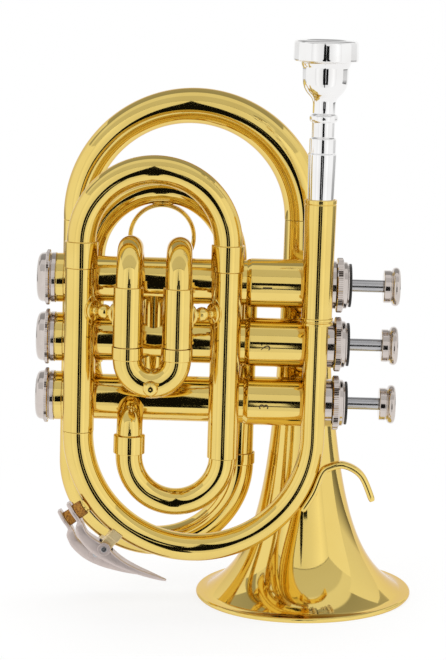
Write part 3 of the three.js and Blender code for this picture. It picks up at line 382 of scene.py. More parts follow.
FELT_BLACKS = [(0.006, 0.006, 0.007), (0.02, 0.019, 0.018)]
CORK_BROWNS = [(0.13, 0.04, 0.004), (0.33, 0.14, 0.012), (0.44, 0.21, 0.03)]
PEARL_TINTS = [(0.72, 0.7, 0.74), (0.86, 0.85, 0.8), (0.8, 0.86, 0.84)]
felt = dull("black_felt", FELT_BLACKS, 0.95, 0.25, bump=0.8, sheen=0.3)
cork = dull("brown_cork", CORK_BROWNS, 0.9, 0.7)
pearl = dull("mother_of_pearl", PEARL_TINTS, 0.18, 2.2, bump=0.05, coat=0.6)
engraved = dull("engraved_dark", [(0.05, 0.032, 0.01), (0.1, 0.065, 0.02)], 0.6, 0.15)
print("dull finishes:", [m.name for m in (felt, cork, pearl, engraved)])

# %% [markdown]
# ## The valves
# Three piston valves lie one above another, buttons to the right. Their casings are the
# largest turned pieces: a slim tube on the left, a wider balance section on the right, a
# brass ring at the left end and a nickel one at the right. Heights in these outlines run
# along the valve's axis.

# %% Where the valves are
VALVE_SPACING = 25.5
ALONG_X = Matrix.Rotation(math.pi / 2, 4, "Y")


def valve_place(number):
    return leaning @ Matrix.Translation((0, 0, VALVE_SPACING * (2 - number))) @ ALONG_X


def valve_piece(number, part, outline, finish, body="horn", ease=EASE):
    name = f"valve_{number}_{part}"
    shape = revolved(eased(outline, ease))
    return make_piece(f"{name}_turned", shape, valve_place(number), finish, body, [name])


print("valve axes are", VALVE_SPACING, "mm apart")

# %% Casings with their end rings
CASING_RADIUS = 9.7
CASING_WIDE = 10.45
CASING_BORE = 8.92
CASING_LEFT = -112.3
CASING_RIGHT = 11.4
SHOULDER = -26.4
CAP_SEAT = 9.2
CAP_SEAT_END = 3.6
casing_outline = [
    (CASING_RADIUS, CASING_LEFT), (CASING_RADIUS, SHOULDER),
    (CASING_WIDE - 0.35, SHOULDER + 0.7), (CASING_WIDE, SHOULDER + 1.8), (CASING_WIDE, 7.6),
    (10, 7.6), (10, CASING_RIGHT), (CAP_SEAT, CASING_RIGHT), (CAP_SEAT, CAP_SEAT_END),
    (CASING_BORE, CAP_SEAT_END), (CASING_BORE, CASING_LEFT),
]
left_ring = box_outline(9.72, CASING_WIDE, -107, -103.8)
right_ring = box_outline(10.01, 10.25, 7.7, 11.3)
for number in (1, 2, 3):
    valve_piece(number, "casing", casing_outline, brass)
    place = valve_place(number)
    make_piece(f"valve_{number}_left_ring", revolved(eased(left_ring)), place, brass)
    make_piece(f"valve_{number}_right_ring", revolved(eased(right_ring)), place, nickel)
print("casing length:", CASING_RIGHT - CASING_LEFT, "mm")

# %% [markdown]
# A cap's edge is knurled so that fingers can grip it. The knurl is a ring of fine teeth
# rather than a bump, because it shows in the outline. Each tooth is a rise and a fall in
# radius round the rim, so the ring has two points per tooth.

# %% Knurled rings
KNURL_TEETH = 84
KNURL_DEPTH = 0.28
KNURL_EDGE = 0.35
KNURL_BEVEL = 0.45


def knurled(inner, outer, start, end):
    rows = [
        (inner, start, False),
        (outer - KNURL_BEVEL, start, False),
        (outer, start + KNURL_EDGE, True),
        (outer, end - KNURL_EDGE, True),
        (outer - KNURL_BEVEL, end, False),
        (inner, end, False),
    ]
    sides = 2 * KNURL_TEETH
    vertices = []
    for radius, height, toothed in rows:
        for side in range(sides):
            turn = 2 * math.pi * side / sides
            reach = radius - KNURL_DEPTH if toothed and side % 2 else radius
            vertices.append(Vector((reach * math.cos(turn), reach * math.sin(turn), height)))
    return vertices, skin(len(rows), sides)


print("teeth round a cap:", KNURL_TEETH)

# %% [markdown]
# The top cap screws on at the right: a knurled flange, then a plain crown with a step.
# The black felt lies on it, and the stem comes out through both to the button.

# %% Top caps and felts
CAP_HOLE = 2.95
FLANGE_LEFT = 11.7
FLANGE_RIGHT = 14.4
CROWN_RIGHT = 17
top_cap_outline = [
    (CAP_HOLE, FLANGE_LEFT), (7.8, FLANGE_LEFT), (7.8, 3.9), (8.9, 3.9), (8.9, FLANGE_LEFT),
    (10.9, FLANGE_LEFT), (10.9, FLANGE_RIGHT - 0.1), (10.1, FLANGE_RIGHT + 0.1),
    (9.9, CROWN_RIGHT - 0.9), (9.35, CROWN_RIGHT - 0.7), (9.1, CROWN_RIGHT),
    (CAP_HOLE, CROWN_RIGHT),
]
felt_outline = box_outline(CAP_HOLE, 9.25, 17.02, 18)
for number in (1, 2, 3):
    valve_piece(number, "top_cap", top_cap_outline, nickel, ease=0.3)
    grip = knurled(10.5, 11.65, FLANGE_LEFT, FLANGE_RIGHT)
    make_piece(f"valve_{number}_top_knurl", grip, valve_place(number), nickel)
    valve_piece(number, "felt", felt_outline, felt, ease=0.3)
print("felt thickness:", round(felt_outline[2][1] - felt_outline[1][1], 2), "mm")

# %% [markdown]
# The button is turned from one bar: a drum, a waist and a wider rounded rim, with a disc
# of pearl let into its outer face. The stem below it is plain ground steel. Both move
# with the piston, so they ride on the valve's own body.

# %% Stems, buttons and pearls
BUTTON_LEFT = 31.8
button_outline = [
    (0, BUTTON_LEFT), (6.7, BUTTON_LEFT), (6.95, BUTTON_LEFT + 0.3),
    (6.95, BUTTON_LEFT + 2.7), (6.7, BUTTON_LEFT + 3.1), (6.95, BUTTON_LEFT + 3.5),
    (7.85, BUTTON_LEFT + 3.9), (8.2, BUTTON_LEFT + 4.6), (8.3, BUTTON_LEFT + 5.3),
    (8.15, BUTTON_LEFT + 6), (7.6, BUTTON_LEFT + 6.6), (6.9, BUTTON_LEFT + 6.85),
    (6.5, BUTTON_LEFT + 6.6), (0, BUTTON_LEFT + 6.6),
]
pearl_outline = [
    (0, BUTTON_LEFT + 6.1), (6.45, BUTTON_LEFT + 6.1), (6.45, BUTTON_LEFT + 6.6),
    (5, BUTTON_LEFT + 6.75), (0, BUTTON_LEFT + 6.8),
]
stem_outline = [
    (0, 0.3), (8.2, 0.3), (8.2, 3.1), (3.4, 3.3), (2.65, 4), (2.65, BUTTON_LEFT),
    (0, BUTTON_LEFT),
]
for number in (1, 2, 3):
    body = f"valve_{number}_body"
    valve_piece(number, "stem", stem_outline, steel, body)
    valve_piece(number, "button", button_outline, nickel, body, 0.35)
    shape = revolved(eased(pearl_outline))
    make_piece(f"valve_{number}_pearl", shape, valve_place(number), pearl, body)
print("pearl width:", 2 * pearl_outline[1][0], "mm")

# %% [markdown]
# The bottom cap is a drum with a rounded face, a knurled flange, a groove and a ring. A
# small vent hole goes through it. It is the left end of each valve.

# %% Bottom caps
bottom_outline = [
    (2, -115.4), (6.2, -115.38), (8.4, -115.1), (9.7, -114.5), (10.3, -113.6),
    (10.5, -112.4), (10.8, -111.6), (10.8, -109.9), (10.15, -109.7), (10.15, -109.4),
    (10.7, -109.2), (10.7, -107.3), (10, -107.3), (10, -112.6), (2, -114.2),
]
for number in (1, 2, 3):
    valve_piece(number, "bottom_cap", bottom_outline, nickel, ease=0.35)
    grip = knurled(10.3, 11.75, -111.6, -109.9)
    make_piece(f"valve_{number}_bottom_knurl", grip, valve_place(number), nickel)
print("bottom cap width:", 2 * 11.75, "mm")

# %% [markdown]
# Inside each casing the piston keeps its imported solid, which no one sees at a glance.
# The spring is wound anew, with as many turns as a real one.

# %% Springs wound anew
SPRING_LEFT = -27.05
SPRING_RIGHT = -0.55
SPRING_RADIUS = 5.9
SPRING_WIRE = 0.5
SPRING_TURNS = 11
SPRING_SIDES = 8


def coil():
    vertices = []
    rings = SPRING_TURNS * 20
    rise = (SPRING_RIGHT - SPRING_LEFT) / SPRING_TURNS
    slope = math.atan(rise / (2 * math.pi * SPRING_RADIUS))
    for ring in range(rings + 1):
        turn = 2 * math.pi * SPRING_TURNS * ring / rings
        out = Vector((math.cos(turn), math.sin(turn), 0))
        onward = Vector((-math.sin(turn), math.cos(turn), 0))
        up = Vector((0, 0, 1)) * math.cos(slope) - onward * math.sin(slope)
        height = SPRING_LEFT + (SPRING_RIGHT - SPRING_LEFT) * ring / rings
        middle = out * SPRING_RADIUS + Vector((0, 0, height))
        for side in range(SPRING_SIDES):
            angle = 2 * math.pi * side / SPRING_SIDES
            vertices.append(middle + (out * math.cos(angle) + up * math.sin(angle)) * SPRING_WIRE)
    return vertices, skin(rings + 1, SPRING_SIDES, closed=False)


for number in (1, 2, 3):
    node = f"valve_{number}_spring"
    place = valve_place(number)
    wound = make_piece(f"{node}_wound", coil(), place, steel, "horn", [node])
    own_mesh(wound)
    frame["nodes"][f"valve_{number}_piston"].data.materials.clear()
    frame["nodes"][f"valve_{number}_piston"].data.materials.append(steel)

# %% [markdown]
# ## Mouthpiece and leadpipe
# The silver mouthpiece is one turned piece: a wide rim with a deep band, the cup, and a
# shank with a bead and a collar. Its inside is turned too, since the cup is open.

# %% The mouthpiece
LEADPIPE_X = 3
FRONT_PLANE = -17
MOUTHPIECE_TOP = 129.5
MOUTHPIECE_LENGTH = 88
outside = [
    (9.6, -0.35), (10.8, 0), (12.2, -0.15), (13, -0.6), (13.3, -1.5), (13.5, -7.6),
    (13.4, -8.5), (12.9, -8.8), (10.5, -9.3), (10.2, -10.4), (9.75, -11.2), (9.6, -12.2),
    (9.55, -15.8), (9.35, -17.8), (8.8, -19.6), (7.9, -21.2), (6.8, -22.5), (5.7, -23.6),
    (5, -24.8), (4.75, -26.4), (4.75, -30.3), (5.5, -30.6), (5.9, -31.4), (5.9, -32.7),
    (5.5, -33.5), (4.75, -33.7), (4.7, -39.9), (5.2, -40.2), (5.55, -40.6), (5.55, -46.5),
    (5.95, -46.9), (5, -MOUTHPIECE_LENGTH),
]
inside = [
    (4.2, -MOUTHPIECE_LENGTH), (1.9, -22), (1.9, -13), (4.6, -11.8), (6.4, -9.2),
    (7.5, -5.6), (8.1, -2.4), (8.7, -1.0),
]
shape = revolved(eased(outside + inside, 0.4), 72)
place = leaning @ at(LEADPIPE_X, FRONT_PLANE, MOUTHPIECE_TOP)
make_piece("mouthpiece_turned", shape, place, silver, "loose_mouthpiece", ["mouthpiece"])
print("mouthpiece length:", MOUTHPIECE_LENGTH, "mm, rim width:", 2 * 13.5, "mm")

# %% [markdown]
# The receiver takes the mouthpiece's shank, and its lower end has a double bead where it
# is soldered on the leadpipe. The leadpipe is one long taper that goes down, round the
# big front bow and up to the left leg.

# %% Receiver and leadpipe
receiver_stations = [
    (11.1, 6.9, 5.4), (12.1, 6.9, 5.4), (12.25, 6.45, 5.4), (12.75, 6.45, 5.4),
    (12.9, 6.9, 5.4), (13.9, 6.9, 5.4), (14.05, 6.45, 5.4), (36.3, 6.45, 5.4),
    (61.6, 6.7, 5.65), (61.75, 6.5, 5.65), (61.95, 6.5, 5.65), (62.1, 6.75, 5.65),
    (63.7, 6.75, 5.95),
]
place = leaning @ at(LEADPIPE_X, FRONT_PLANE, 0)
brass_part("receiver", "turned", straight_tube(receiver_stations, 0.15), place)
WALL = 0.6
SPIGOT = 5
FRONT_BOW_X = -46.5
FRONT_BOW_Z = -37.1
FRONT_BOW_RADIUS = 49.5
LEADPIPE_TOP = 36
LEADPIPE_RADIUS = 5.1
FRONT_BOW_END = 6.45


def even_taper(start, length, first, last, steps):
    """Stations from the first (outer, bore) to the last, evenly along a length."""
    stations = []
    for step in range(steps + 1):
        share = step / steps
        outer = first[0] + (last[0] - first[0]) * share
        bore = first[1] + (last[1] - first[1]) * share
        stations.append((start + length * share, outer, bore))
    return stations


leg = LEADPIPE_TOP - FRONT_BOW_Z
arc = FRONT_BOW_RADIUS * math.pi
stations = [(0, LEADPIPE_RADIUS, 4.5)]
stations += even_taper(leg, arc - 0.4, (LEADPIPE_RADIUS, 4.5), (FRONT_BOW_END, 5.85), 24)
stations += [(leg + arc, FRONT_BOW_END - 0.1, 5.4), (leg + arc, 5.7, 5.1), (leg + arc + SPIGOT, 5.7, 5.1)]
shape = bent_tube(stations, leg, FRONT_BOW_RADIUS)
place = leaning @ at(FRONT_BOW_X, FRONT_PLANE, FRONT_BOW_Z, turn_y=math.pi)
brass_part("leadpipe", "drawn", shape, place)
print("leadpipe length:", round(leg + arc), "mm")

# %% [markdown]
# ## Slides
# A slide is a half-round bow with a ferrule and an inner leg at each end. The ferrules
# are thicker rings, and the hairline gaps between them and the outer tubes are real.
# One helper builds any of them from named sizes.

# %% One helper for every slide
FERRULE = 5.2
FERRULE_RADIUS = 6.6


def slide_shape(leg_length, ferrule, ferrule_radius, legs, bow_radius, bow_tube):
    arc_length = bow_radius * math.pi
    first, second = legs
    end = leg_length + arc_length
    inner = bow_tube - WALL
    stations = [
        (0, first, first - WALL),
        (leg_length - ferrule, first, first - WALL),
        (leg_length - ferrule, ferrule_radius, first - WALL),
        (leg_length - 0.15, ferrule_radius, inner),
        (leg_length, bow_tube, inner),
    ]
    stations += even_taper(leg_length + 1, arc_length - 2, (bow_tube, inner), (bow_tube, inner), 2)
    stations += [
        (end, bow_tube, inner),
        (end + 0.15, ferrule_radius, inner),
        (end + ferrule, ferrule_radius, second - WALL),
        (end + ferrule, second, second - WALL),
        (end + leg_length, second, second - WALL),
    ]
    return bent_tube(stations, leg_length, bow_radius, math.pi, 0.16)


print("wall thickness:", WALL, "mm")

# %% The main tuning slide and its outer tubes
SLIDE_FIT = 0.12
LEFT_LEG_X = -96
RIGHT_LEG_X = -34.9
LEFT_TUBE = 6.6
RIGHT_TUBE = 6.4
TUNING_BOW_Z = 43.5
FERRULE_Z = 32.6
SMALL_BOW_Z = -47.1
left = ("left", LEFT_LEG_X, LEFT_TUBE, FRONT_BOW_Z)
right = ("right", RIGHT_LEG_X, RIGHT_TUBE, SMALL_BOW_Z)
for name, x, radius, low in (left, right):
    stations = [(low + 0.15, radius, radius - WALL), (FERRULE_Z - 0.3, radius, radius - WALL)]
    place = leaning @ at(x, FRONT_PLANE, 0)
    node = f"tuning_tube_{name}"
    brass_part(node, "drawn", straight_tube(stations, 0.1), place)
legs = [tube - WALL - SLIDE_FIT for tube in (LEFT_TUBE, RIGHT_TUBE)]
bow_radius = (RIGHT_LEG_X - LEFT_LEG_X) / 2
shape = slide_shape(TUNING_BOW_Z + 8, TUNING_BOW_Z - FERRULE_Z, 6.95, legs, bow_radius, 6.1)
place = leaning @ at((LEFT_LEG_X + RIGHT_LEG_X) / 2, FRONT_PLANE, TUNING_BOW_Z)
brass_part("tuning_slide", "bent", shape, place, "main_tuning_slide")
print("tuning bow radius:", bow_radius, "mm")

# %% [markdown]
# The pull knobs are small turned buttons on a neck. They are soldered on the bows, so
# each is its own piece beside the bow.

# %% Pull knobs
def knob_shape():
    outline = [
        (0, 0),
        (2.6, 0),
        (1.9, 0.6),
        (1.8, 2.4),
        (2.5, 2.7),
        (3.1, 3.6),
        (3.2, 4.8),
        (3.1, 6.2),
        (2.4, 7.3),
        (1.2, 7.8),
        (0, 7.8),
    ]
    return revolved(eased(outline, 0.3), 40)


print("knob height:", 7.8, "mm")

# %% First valve slide
FIRST_SLIDE_X = -65.2
FIRST_SLIDE_RADIUS = 10.2
FIRST_PLANE = -29.5
FIRST_BOW_Z = -3.6
FIRST_TUBE = 6.25
legs = [FIRST_TUBE - WALL - SLIDE_FIT] * 2
shape = slide_shape(25.6, FERRULE, FERRULE_RADIUS, legs, FIRST_SLIDE_RADIUS, 6.1)
place = leaning @ at(FIRST_SLIDE_X, FIRST_PLANE, FIRST_BOW_Z, turn_y=math.pi)
brass_part("first_slide", "bent", shape, place, "first_valve_slide")
foot = leaning @ at(FIRST_SLIDE_X, FIRST_PLANE - 5.8, FIRST_BOW_Z - FIRST_SLIDE_RADIUS)
place = foot @ Matrix.Rotation(math.pi / 2, 4, "X")
make_piece("first_slide_knob", knob_shape(), place, brass, "first_valve_slide")
print("first slide legs are", 2 * FIRST_SLIDE_RADIUS, "mm apart")

# %% [markdown]
# Tubes that end on a casing are filed to its curve. Here each is cut with a cylinder a
# little slimmer than the casing, so its end sinks into the casing's wall and no further.

# %% Cutting a tube to a casing's curve
def cylinder_along_x(radius, left, right, z):
    return moved(revolved(box_outline(0, radius, left, right), 96), at(0, 0, z, turn_y=math.pi / 2))


def carve(piece, shape, place):
    """Cut a closed shape out of a piece."""
    tool = new_object("tool", built_mesh("tool", shape, place))
    cut = piece.modifiers.new("cut", "BOOLEAN")
    cut.operation = "DIFFERENCE"
    cut.solver = "EXACT"
    cut.object = tool
    finished = final_mesh(piece)
    piece.modifiers.clear()
    piece.data = finished
    bpy.data.objects.remove(tool)
    smooth(piece.data)


SINK = 0.3


def cut_to_casing(piece, number, sink=SINK):
    z = VALVE_SPACING * (2 - number)
    slim = (CASING_RADIUS, -120, SHOULDER + 0.7)
    wide = (CASING_WIDE, SHOULDER + 0.6, 20)
    for radius, left, right in (slim, wide):
        carve(piece, cylinder_along_x(radius - sink, left, right, z), leaning)


print("tube ends sink", SINK, "mm into a casing")

# %% [markdown]
# Each outer tube of the first slide goes up, over in a tight bend and down to the first
# casing. The bend is a thinner tube than the one it leaves.

# %% First slide's outer tubes
RETURN_RADIUS = 13
RETURN_TUBE = 5.4
for name, side in (("left", -1), ("right", 1)):
    stations = [
        (0, FIRST_TUBE, 5.65),
        (23, FIRST_TUBE, 5.65),
        (23.6, FIRST_TUBE, 4.8),
        (24.6, FIRST_TUBE, 4.8),
        (24.75, RETURN_TUBE, 4.8),
        (26, RETURN_TUBE, 4.8),
        (26 + RETURN_RADIUS * math.pi, RETURN_TUBE, 4.8),
    ]
    shape = bent_tube(stations, 26, RETURN_RADIUS, math.pi, 0.16)
    x = FIRST_SLIDE_X + side * FIRST_SLIDE_RADIUS
    place = leaning @ at(x, FIRST_PLANE + RETURN_RADIUS, 27.9, turn_z=math.pi / 2)
    node = f"first_tube_{name}"
    piece = brass_part(node, "bent", shape, place)
    cut_to_casing(piece, 1)
print("return bend radius:", RETURN_RADIUS, "mm")

# %% Small bow and the elbow into the third casing
SMALL_BOW_RADIUS = 19.7
SMALL_BOW_TUBE = 5.65
arc = SMALL_BOW_RADIUS * math.pi
stations = [
    (0, 5.5, 4.9), (SPIGOT, 5.5, 4.9), (SPIGOT + 0.1, SMALL_BOW_TUBE, 5.05),
    (SPIGOT + arc, SMALL_BOW_TUBE, 5.05), (SPIGOT + arc + SPIGOT, SMALL_BOW_TUBE, 5.05),
]
shape = bent_tube(stations, SPIGOT, SMALL_BOW_RADIUS)
place = leaning @ at(RIGHT_LEG_X - SMALL_BOW_RADIUS, FRONT_PLANE, SMALL_BOW_Z, turn_y=math.pi)
brass_part("small_bow", "bent", shape, place)
ELBOW_RADIUS = 9
ELBOW_SWEEP = math.radians(70)
BARREL_TOP = -38
leg = BARREL_TOP - SMALL_BOW_Z - 1
turn_end = leg + ELBOW_RADIUS * ELBOW_SWEEP
stations = [
    (0, 6.65, 5.95), (4.3, 6.65, 5.95), (4.4, 6.65, 4.9), (leg - 0.4, 6.65, 4.9),
    (leg, 5.5, 4.9), (turn_end, 5.5, 4.9), (turn_end + 6, 5.5, 4.9),
]
shape = bent_tube(stations, leg, ELBOW_RADIUS, ELBOW_SWEEP)
entry_x = RIGHT_LEG_X - 2 * SMALL_BOW_RADIUS
place = leaning @ at(entry_x, FRONT_PLANE + ELBOW_RADIUS, BARREL_TOP, turn_z=math.pi / 2)
elbow = brass_part("entry_elbow", "bent", shape, place)
cut_to_casing(elbow, 3)
print("small bow radius:", SMALL_BOW_RADIUS, "mm")

# %% [markdown]
# The second slide points straight back from the middle casing, and is short. The third
# slide stands behind the casings, and its outer tubes turn forward into the third one.

# %% Second and third valve slides
SECOND_SLIDE_X = -63
SECOND_SLIDE_RADIUS = 10.4
SECOND_BOW_Y = 33.5
SECOND_TUBE = 6
BACKWARDS = Matrix.Rotation(-math.pi / 2, 4, "X")
for name, side in (("left", -1), ("right", 1)):
    stations = [(0, SECOND_TUBE, SECOND_TUBE - WALL), (28, SECOND_TUBE, SECOND_TUBE - WALL)]
    shape = moved(straight_tube(stations), BACKWARDS)
    place = leaning @ at(SECOND_SLIDE_X + side * SECOND_SLIDE_RADIUS, 0, 0)
    node = f"second_tube_{name}"
    piece = brass_part(node, "drawn", shape, place)
    cut_to_casing(piece, 2)
legs = [SECOND_TUBE - WALL - SLIDE_FIT] * 2
shape = slide_shape(20.5, FERRULE, FERRULE_RADIUS, legs, SECOND_SLIDE_RADIUS, 5.6)
shape = moved(shape, BACKWARDS)
place = leaning @ at(SECOND_SLIDE_X, SECOND_BOW_Y, 0)
brass_part("second_slide", "bent", shape, place, "second_valve_slide")
foot = leaning @ at(SECOND_SLIDE_X, SECOND_BOW_Y + SECOND_SLIDE_RADIUS + 5.3, 0)
make_piece("second_slide_knob", knob_shape(), foot @ BACKWARDS, brass, "second_valve_slide")
THIRD_SLIDE_X = -63.3
THIRD_RADIUS = 30.7
THIRD_BOW_Z = 32.3
THIRD_PLANE = 17
THIRD_TUBE = 6.1
legs = [THIRD_TUBE - WALL - SLIDE_FIT] * 2
shape = slide_shape(THIRD_BOW_Z + 6, 10, 6.75, legs, THIRD_RADIUS, 6.2)
place = leaning @ at(THIRD_SLIDE_X, THIRD_PLANE, THIRD_BOW_Z)
brass_part("third_slide", "bent", shape, place, "third_valve_slide")
THIRD_ELBOW = 12
THIRD_SHIFT = 12
for name, side in (("left", -1), ("right", 1)):
    leg = 22 + VALVE_SPACING - THIRD_ELBOW
    arc = THIRD_ELBOW * math.pi / 2
    stations = [
        (0, THIRD_TUBE, 5.5),
        (leg - 1.4, THIRD_TUBE, 5.5),
        (leg - 1.2, THIRD_TUBE, 4.8),
        (leg - 0.15, THIRD_TUBE, 4.8),
        (leg, 5.4, 4.8),
        (leg + arc, 5.4, 4.8),
        (leg + arc + 5.4, 5.4, 4.8),
    ]
    shape = bent_tube(stations, leg, THIRD_ELBOW, math.pi / 2, 0.16)
    heading = math.atan2(-THIRD_PLANE, -side * THIRD_SHIFT)
    x = THIRD_SLIDE_X + side * THIRD_RADIUS
    place = leaning @ at(x, THIRD_PLANE, THIRD_ELBOW - VALVE_SPACING)
    place = place @ Matrix.Rotation(heading - math.pi, 4, "Z")
    place = place @ Matrix.Translation((-THIRD_ELBOW, 0, 0)) @ Matrix.Rotation(math.pi, 4, "Y")
    node = f"third_tube_{name}"
    piece = brass_part(node, "bent", shape, place)
    cut_to_casing(piece, 3)
print("third slide legs are", 2 * THIRD_RADIUS, "mm apart")

# %% [markdown]
# The finger ring is a flat band rolled into a hoop and soldered under the third slide's
# bow. A flat bead of solder shows on either side of where it meets the bow.

# %% Finger ring
RING_RADIUS = 14.6
RING_Z = THIRD_BOW_Z + THIRD_RADIUS - 6.2 - RING_RADIUS
band = [
    (RING_RADIUS, -2.4), (RING_RADIUS + 0.02, 0), (RING_RADIUS, 2.4),
    (RING_RADIUS - 1.3, 2.75), (RING_RADIUS - 1.8, 1.6), (RING_RADIUS - 1.9, 0),
    (RING_RADIUS - 1.8, -1.6), (RING_RADIUS - 1.3, -2.75),
]
shape = moved(revolved(eased(band, 0.3), 96), Matrix.Rotation(math.pi / 2, 4, "X"))
place = leaning @ at(THIRD_SLIDE_X, THIRD_PLANE, RING_Z)
brass_part("finger_ring", "rolled", shape, place, "third_valve_slide")
bead = [(0, -1.1), (2, -0.9), (3.3, -0.25), (3.3, 0.3), (2, 1.1), (0, 1.2)]
wide = Matrix.Diagonal((1.7, 0.9, 1, 1))
place = leaning @ at(THIRD_SLIDE_X, THIRD_PLANE, RING_Z + RING_RADIUS)
shape = moved(revolved(eased(bead, 0.3), 40), wide)
make_piece("finger_ring_solder", shape, place, brass, "third_valve_slide")
print("finger ring width:", 2 * RING_RADIUS, "mm")

# %% [markdown]
# ## Bell side
# The bell tail leaves the first casing backwards and turns down. The rear bow carries the
# line round and up the left side, the top loop brings it over, and the bell flares down
# to the floor. The top loop widens all the way, from the leg's width to the bell's.

# %% Bell tail
TAIL_X = -27
TAIL_PORT_X = 2
TAIL_BEND = 14
TAIL_TUBE = 6.05
TAIL_BORE = 5.3
REAR_BOW_Z = -59.8
run = math.hypot(TAIL_X - TAIL_PORT_X, REAR_PLANE)
leg = run - TAIL_BEND
arc = TAIL_BEND * math.pi / 2
drop = VALVE_SPACING - TAIL_BEND - REAR_BOW_Z - 1.5
stations = [(along, TAIL_TUBE, TAIL_BORE) for along in (0, leg, leg + arc + drop)]
shape = moved(bent_tube(stations, leg, TAIL_BEND, math.pi / 2), Matrix.Rotation(math.pi / 2, 4, "Y"))
heading = math.atan2(REAR_PLANE, TAIL_X - TAIL_PORT_X)
x = TAIL_PORT_X + leg * math.cos(heading)
place = leaning @ at(x, leg * math.sin(heading), VALVE_SPACING - TAIL_BEND, turn_z=heading)
tail = brass_part("bell_tail", "bent", shape, place)
cut_to_casing(tail, 1)
print("bell tail runs", round(run, 1), "mm back before it turns down")

# %% Rear bow with its long left leg
LOOP_RADIUS = 49.5
LOOP_Z = 168.8
rise = LOOP_Z - BODY_HEIGHT
leg_x = -2 * LOOP_RADIUS * math.cos(lean) - rise * math.sin(lean)
leg_top = -2 * LOOP_RADIUS * math.sin(lean) + rise * math.cos(lean)
REAR_BOW_X = (TAIL_X + leg_x) / 2
REAR_BOW_RADIUS = (TAIL_X - leg_x) / 2
REAR_TUBE = 6.45
arc = REAR_BOW_RADIUS * math.pi
shoulder = 5 + arc + leg_top - REAR_BOW_Z - 0.2
stations = [
    (0, 6.95, 6.35), (3.8, 6.95, 6.35), (3.9, 6.95, 5.85), (4.85, 6.95, 5.85),
    (5, REAR_TUBE, 5.85), (5 + arc, REAR_TUBE, 5.85),
    (shoulder - 10, REAR_TUBE - 0.05, 5.85), (shoulder - 8, 6.4, 5.85),
    (shoulder, 6.4, 5.4), (shoulder, 5.2, 4.6), (shoulder + SPIGOT, 5.2, 4.6),
]
shape = bent_tube(stations, 5, REAR_BOW_RADIUS, math.pi, 0.16)
place = leaning @ at(REAR_BOW_X, REAR_PLANE, REAR_BOW_Z, turn_y=math.pi)
brass_part("rear_bow", "bent", shape, place)
print("rear bow radius:", round(REAR_BOW_RADIUS, 2), "mm")

# %% The top loop
LOOP_START = 6.4
LOOP_END = 8.95
arc = LOOP_RADIUS * math.pi
stations = even_taper(0, arc, (LOOP_START, LOOP_START - WALL), (LOOP_END, LOOP_END - WALL), 32)
shape = bent_tube(stations, 0, LOOP_RADIUS)
place = upright @ at(-LOOP_RADIUS, REAR_PLANE, LOOP_Z)
brass_part("top_loop", "bent", shape, place)
print("top loop length:", round(arc), "mm")

# %% [markdown]
# A bell is spun over a mandrel and its edge is rolled round a wire. The flare follows a
# power law: the radius falls quickly above the rim and then settles into the stem. The
# roll is a round bead whose lower face was flattened a little where the bell stands.

# %% The bell
BELL_RADIUS = 48
FLARE_LENGTH = 16.4
FLARE_POWER = 0.7
STEM_LEAST = 8.7
RIM_WIRE = 1.1
BELL_WALL = 0.8
BELL_ROWS = 90


def bell_radius(height):
    flare = BELL_RADIUS * (FLARE_LENGTH / (height + FLARE_LENGTH)) ** FLARE_POWER
    return max(flare, STEM_LEAST)


rim_middle = BELL_RADIUS - RIM_WIRE
outline = [Vector((rim_middle - 0.5, 0)), Vector((rim_middle + 0.5, 0))]
for step in range(1, 13):
    angle = -math.pi / 2 + math.radians(27) + step / 12 * math.radians(165)
    out = Vector((math.cos(angle), math.sin(angle)))
    outline.append(Vector((rim_middle, RIM_WIRE)) + out * RIM_WIRE)
top = LOOP_Z - 0.15
flare_rows = []
for row in range(BELL_ROWS + 1):
    height = 2.6 + (top - 2.6) * (row / BELL_ROWS) ** 2
    flare_rows.append((bell_radius(height), height))
outline += [Vector(point) for point in flare_rows]
outline += [Vector((7.3, top)), Vector((7.3, top + SPIGOT))]
outline += [Vector((6.5, top + SPIGOT)), Vector((6.5, top - SPIGOT))]
outline += [Vector((radius - BELL_WALL, height)) for radius, height in reversed(flare_rows[:-4])]
shape = revolved(outline, 144)
place = upright @ at(0, REAR_PLANE, 0)
make_piece("bell_spun", shape, place, bell_brass, "horn", ["bell"])
print("bell width at the rim:", 2 * BELL_RADIUS, "mm")

# %% [markdown]
# ## Knuckles, braces, pad and hook
# Knuckles join neighbouring casings. Each brace is a rod with a ball in its middle and
# saddle flanges soldered at its ends. They are small, but they are what makes the wrap
# look built rather than drawn.

# %% Knuckles between the casings
KNUCKLE_X = -65.5
KNUCKLE_Y = -2.4
KNUCKLE_TUBE = 5.3
for upper in (1, 2):
    low = VALVE_SPACING * (1 - upper)
    stations = [(end, KNUCKLE_TUBE, 4.7) for end in (low, low + VALVE_SPACING)]
    place = leaning @ at(KNUCKLE_X, KNUCKLE_Y, 0)
    node = f"knuckle_{upper}_{upper + 1}"
    piece = brass_part(node, "drawn", straight_tube(stations), place)
    cut_to_casing(piece, upper)
    cut_to_casing(piece, upper + 1)
print("knuckle width:", 2 * KNUCKLE_TUBE, "mm")

# %% Ball braces
BALL = 3.1
ROD = 1.6


def brace_shape(length):
    reach = length / 2
    half = [(0, reach + 0.6), (4.2, reach + 0.6), (4.4, reach), (4.3, reach - 0.7)]
    half += [(2.2, reach - 1.1), (ROD, reach - 1.7), (ROD, BALL * 0.86)]
    half += [(BALL * math.cos(a), BALL * math.sin(a)) for a in (0.7, 0.35, 0)]
    lower = [(radius, -height) for radius, height in reversed(half[:-1])]
    outline = [Vector(point) for point in half + lower]
    return revolved(eased(outline, 0.2), 48)


def between(start, end):
    """A place whose Z runs from start to end, with its origin midway."""
    turn = (end - start).to_track_quat("Z", "Y").to_matrix().to_4x4()
    return Matrix.Translation((start + end) / 2) @ turn


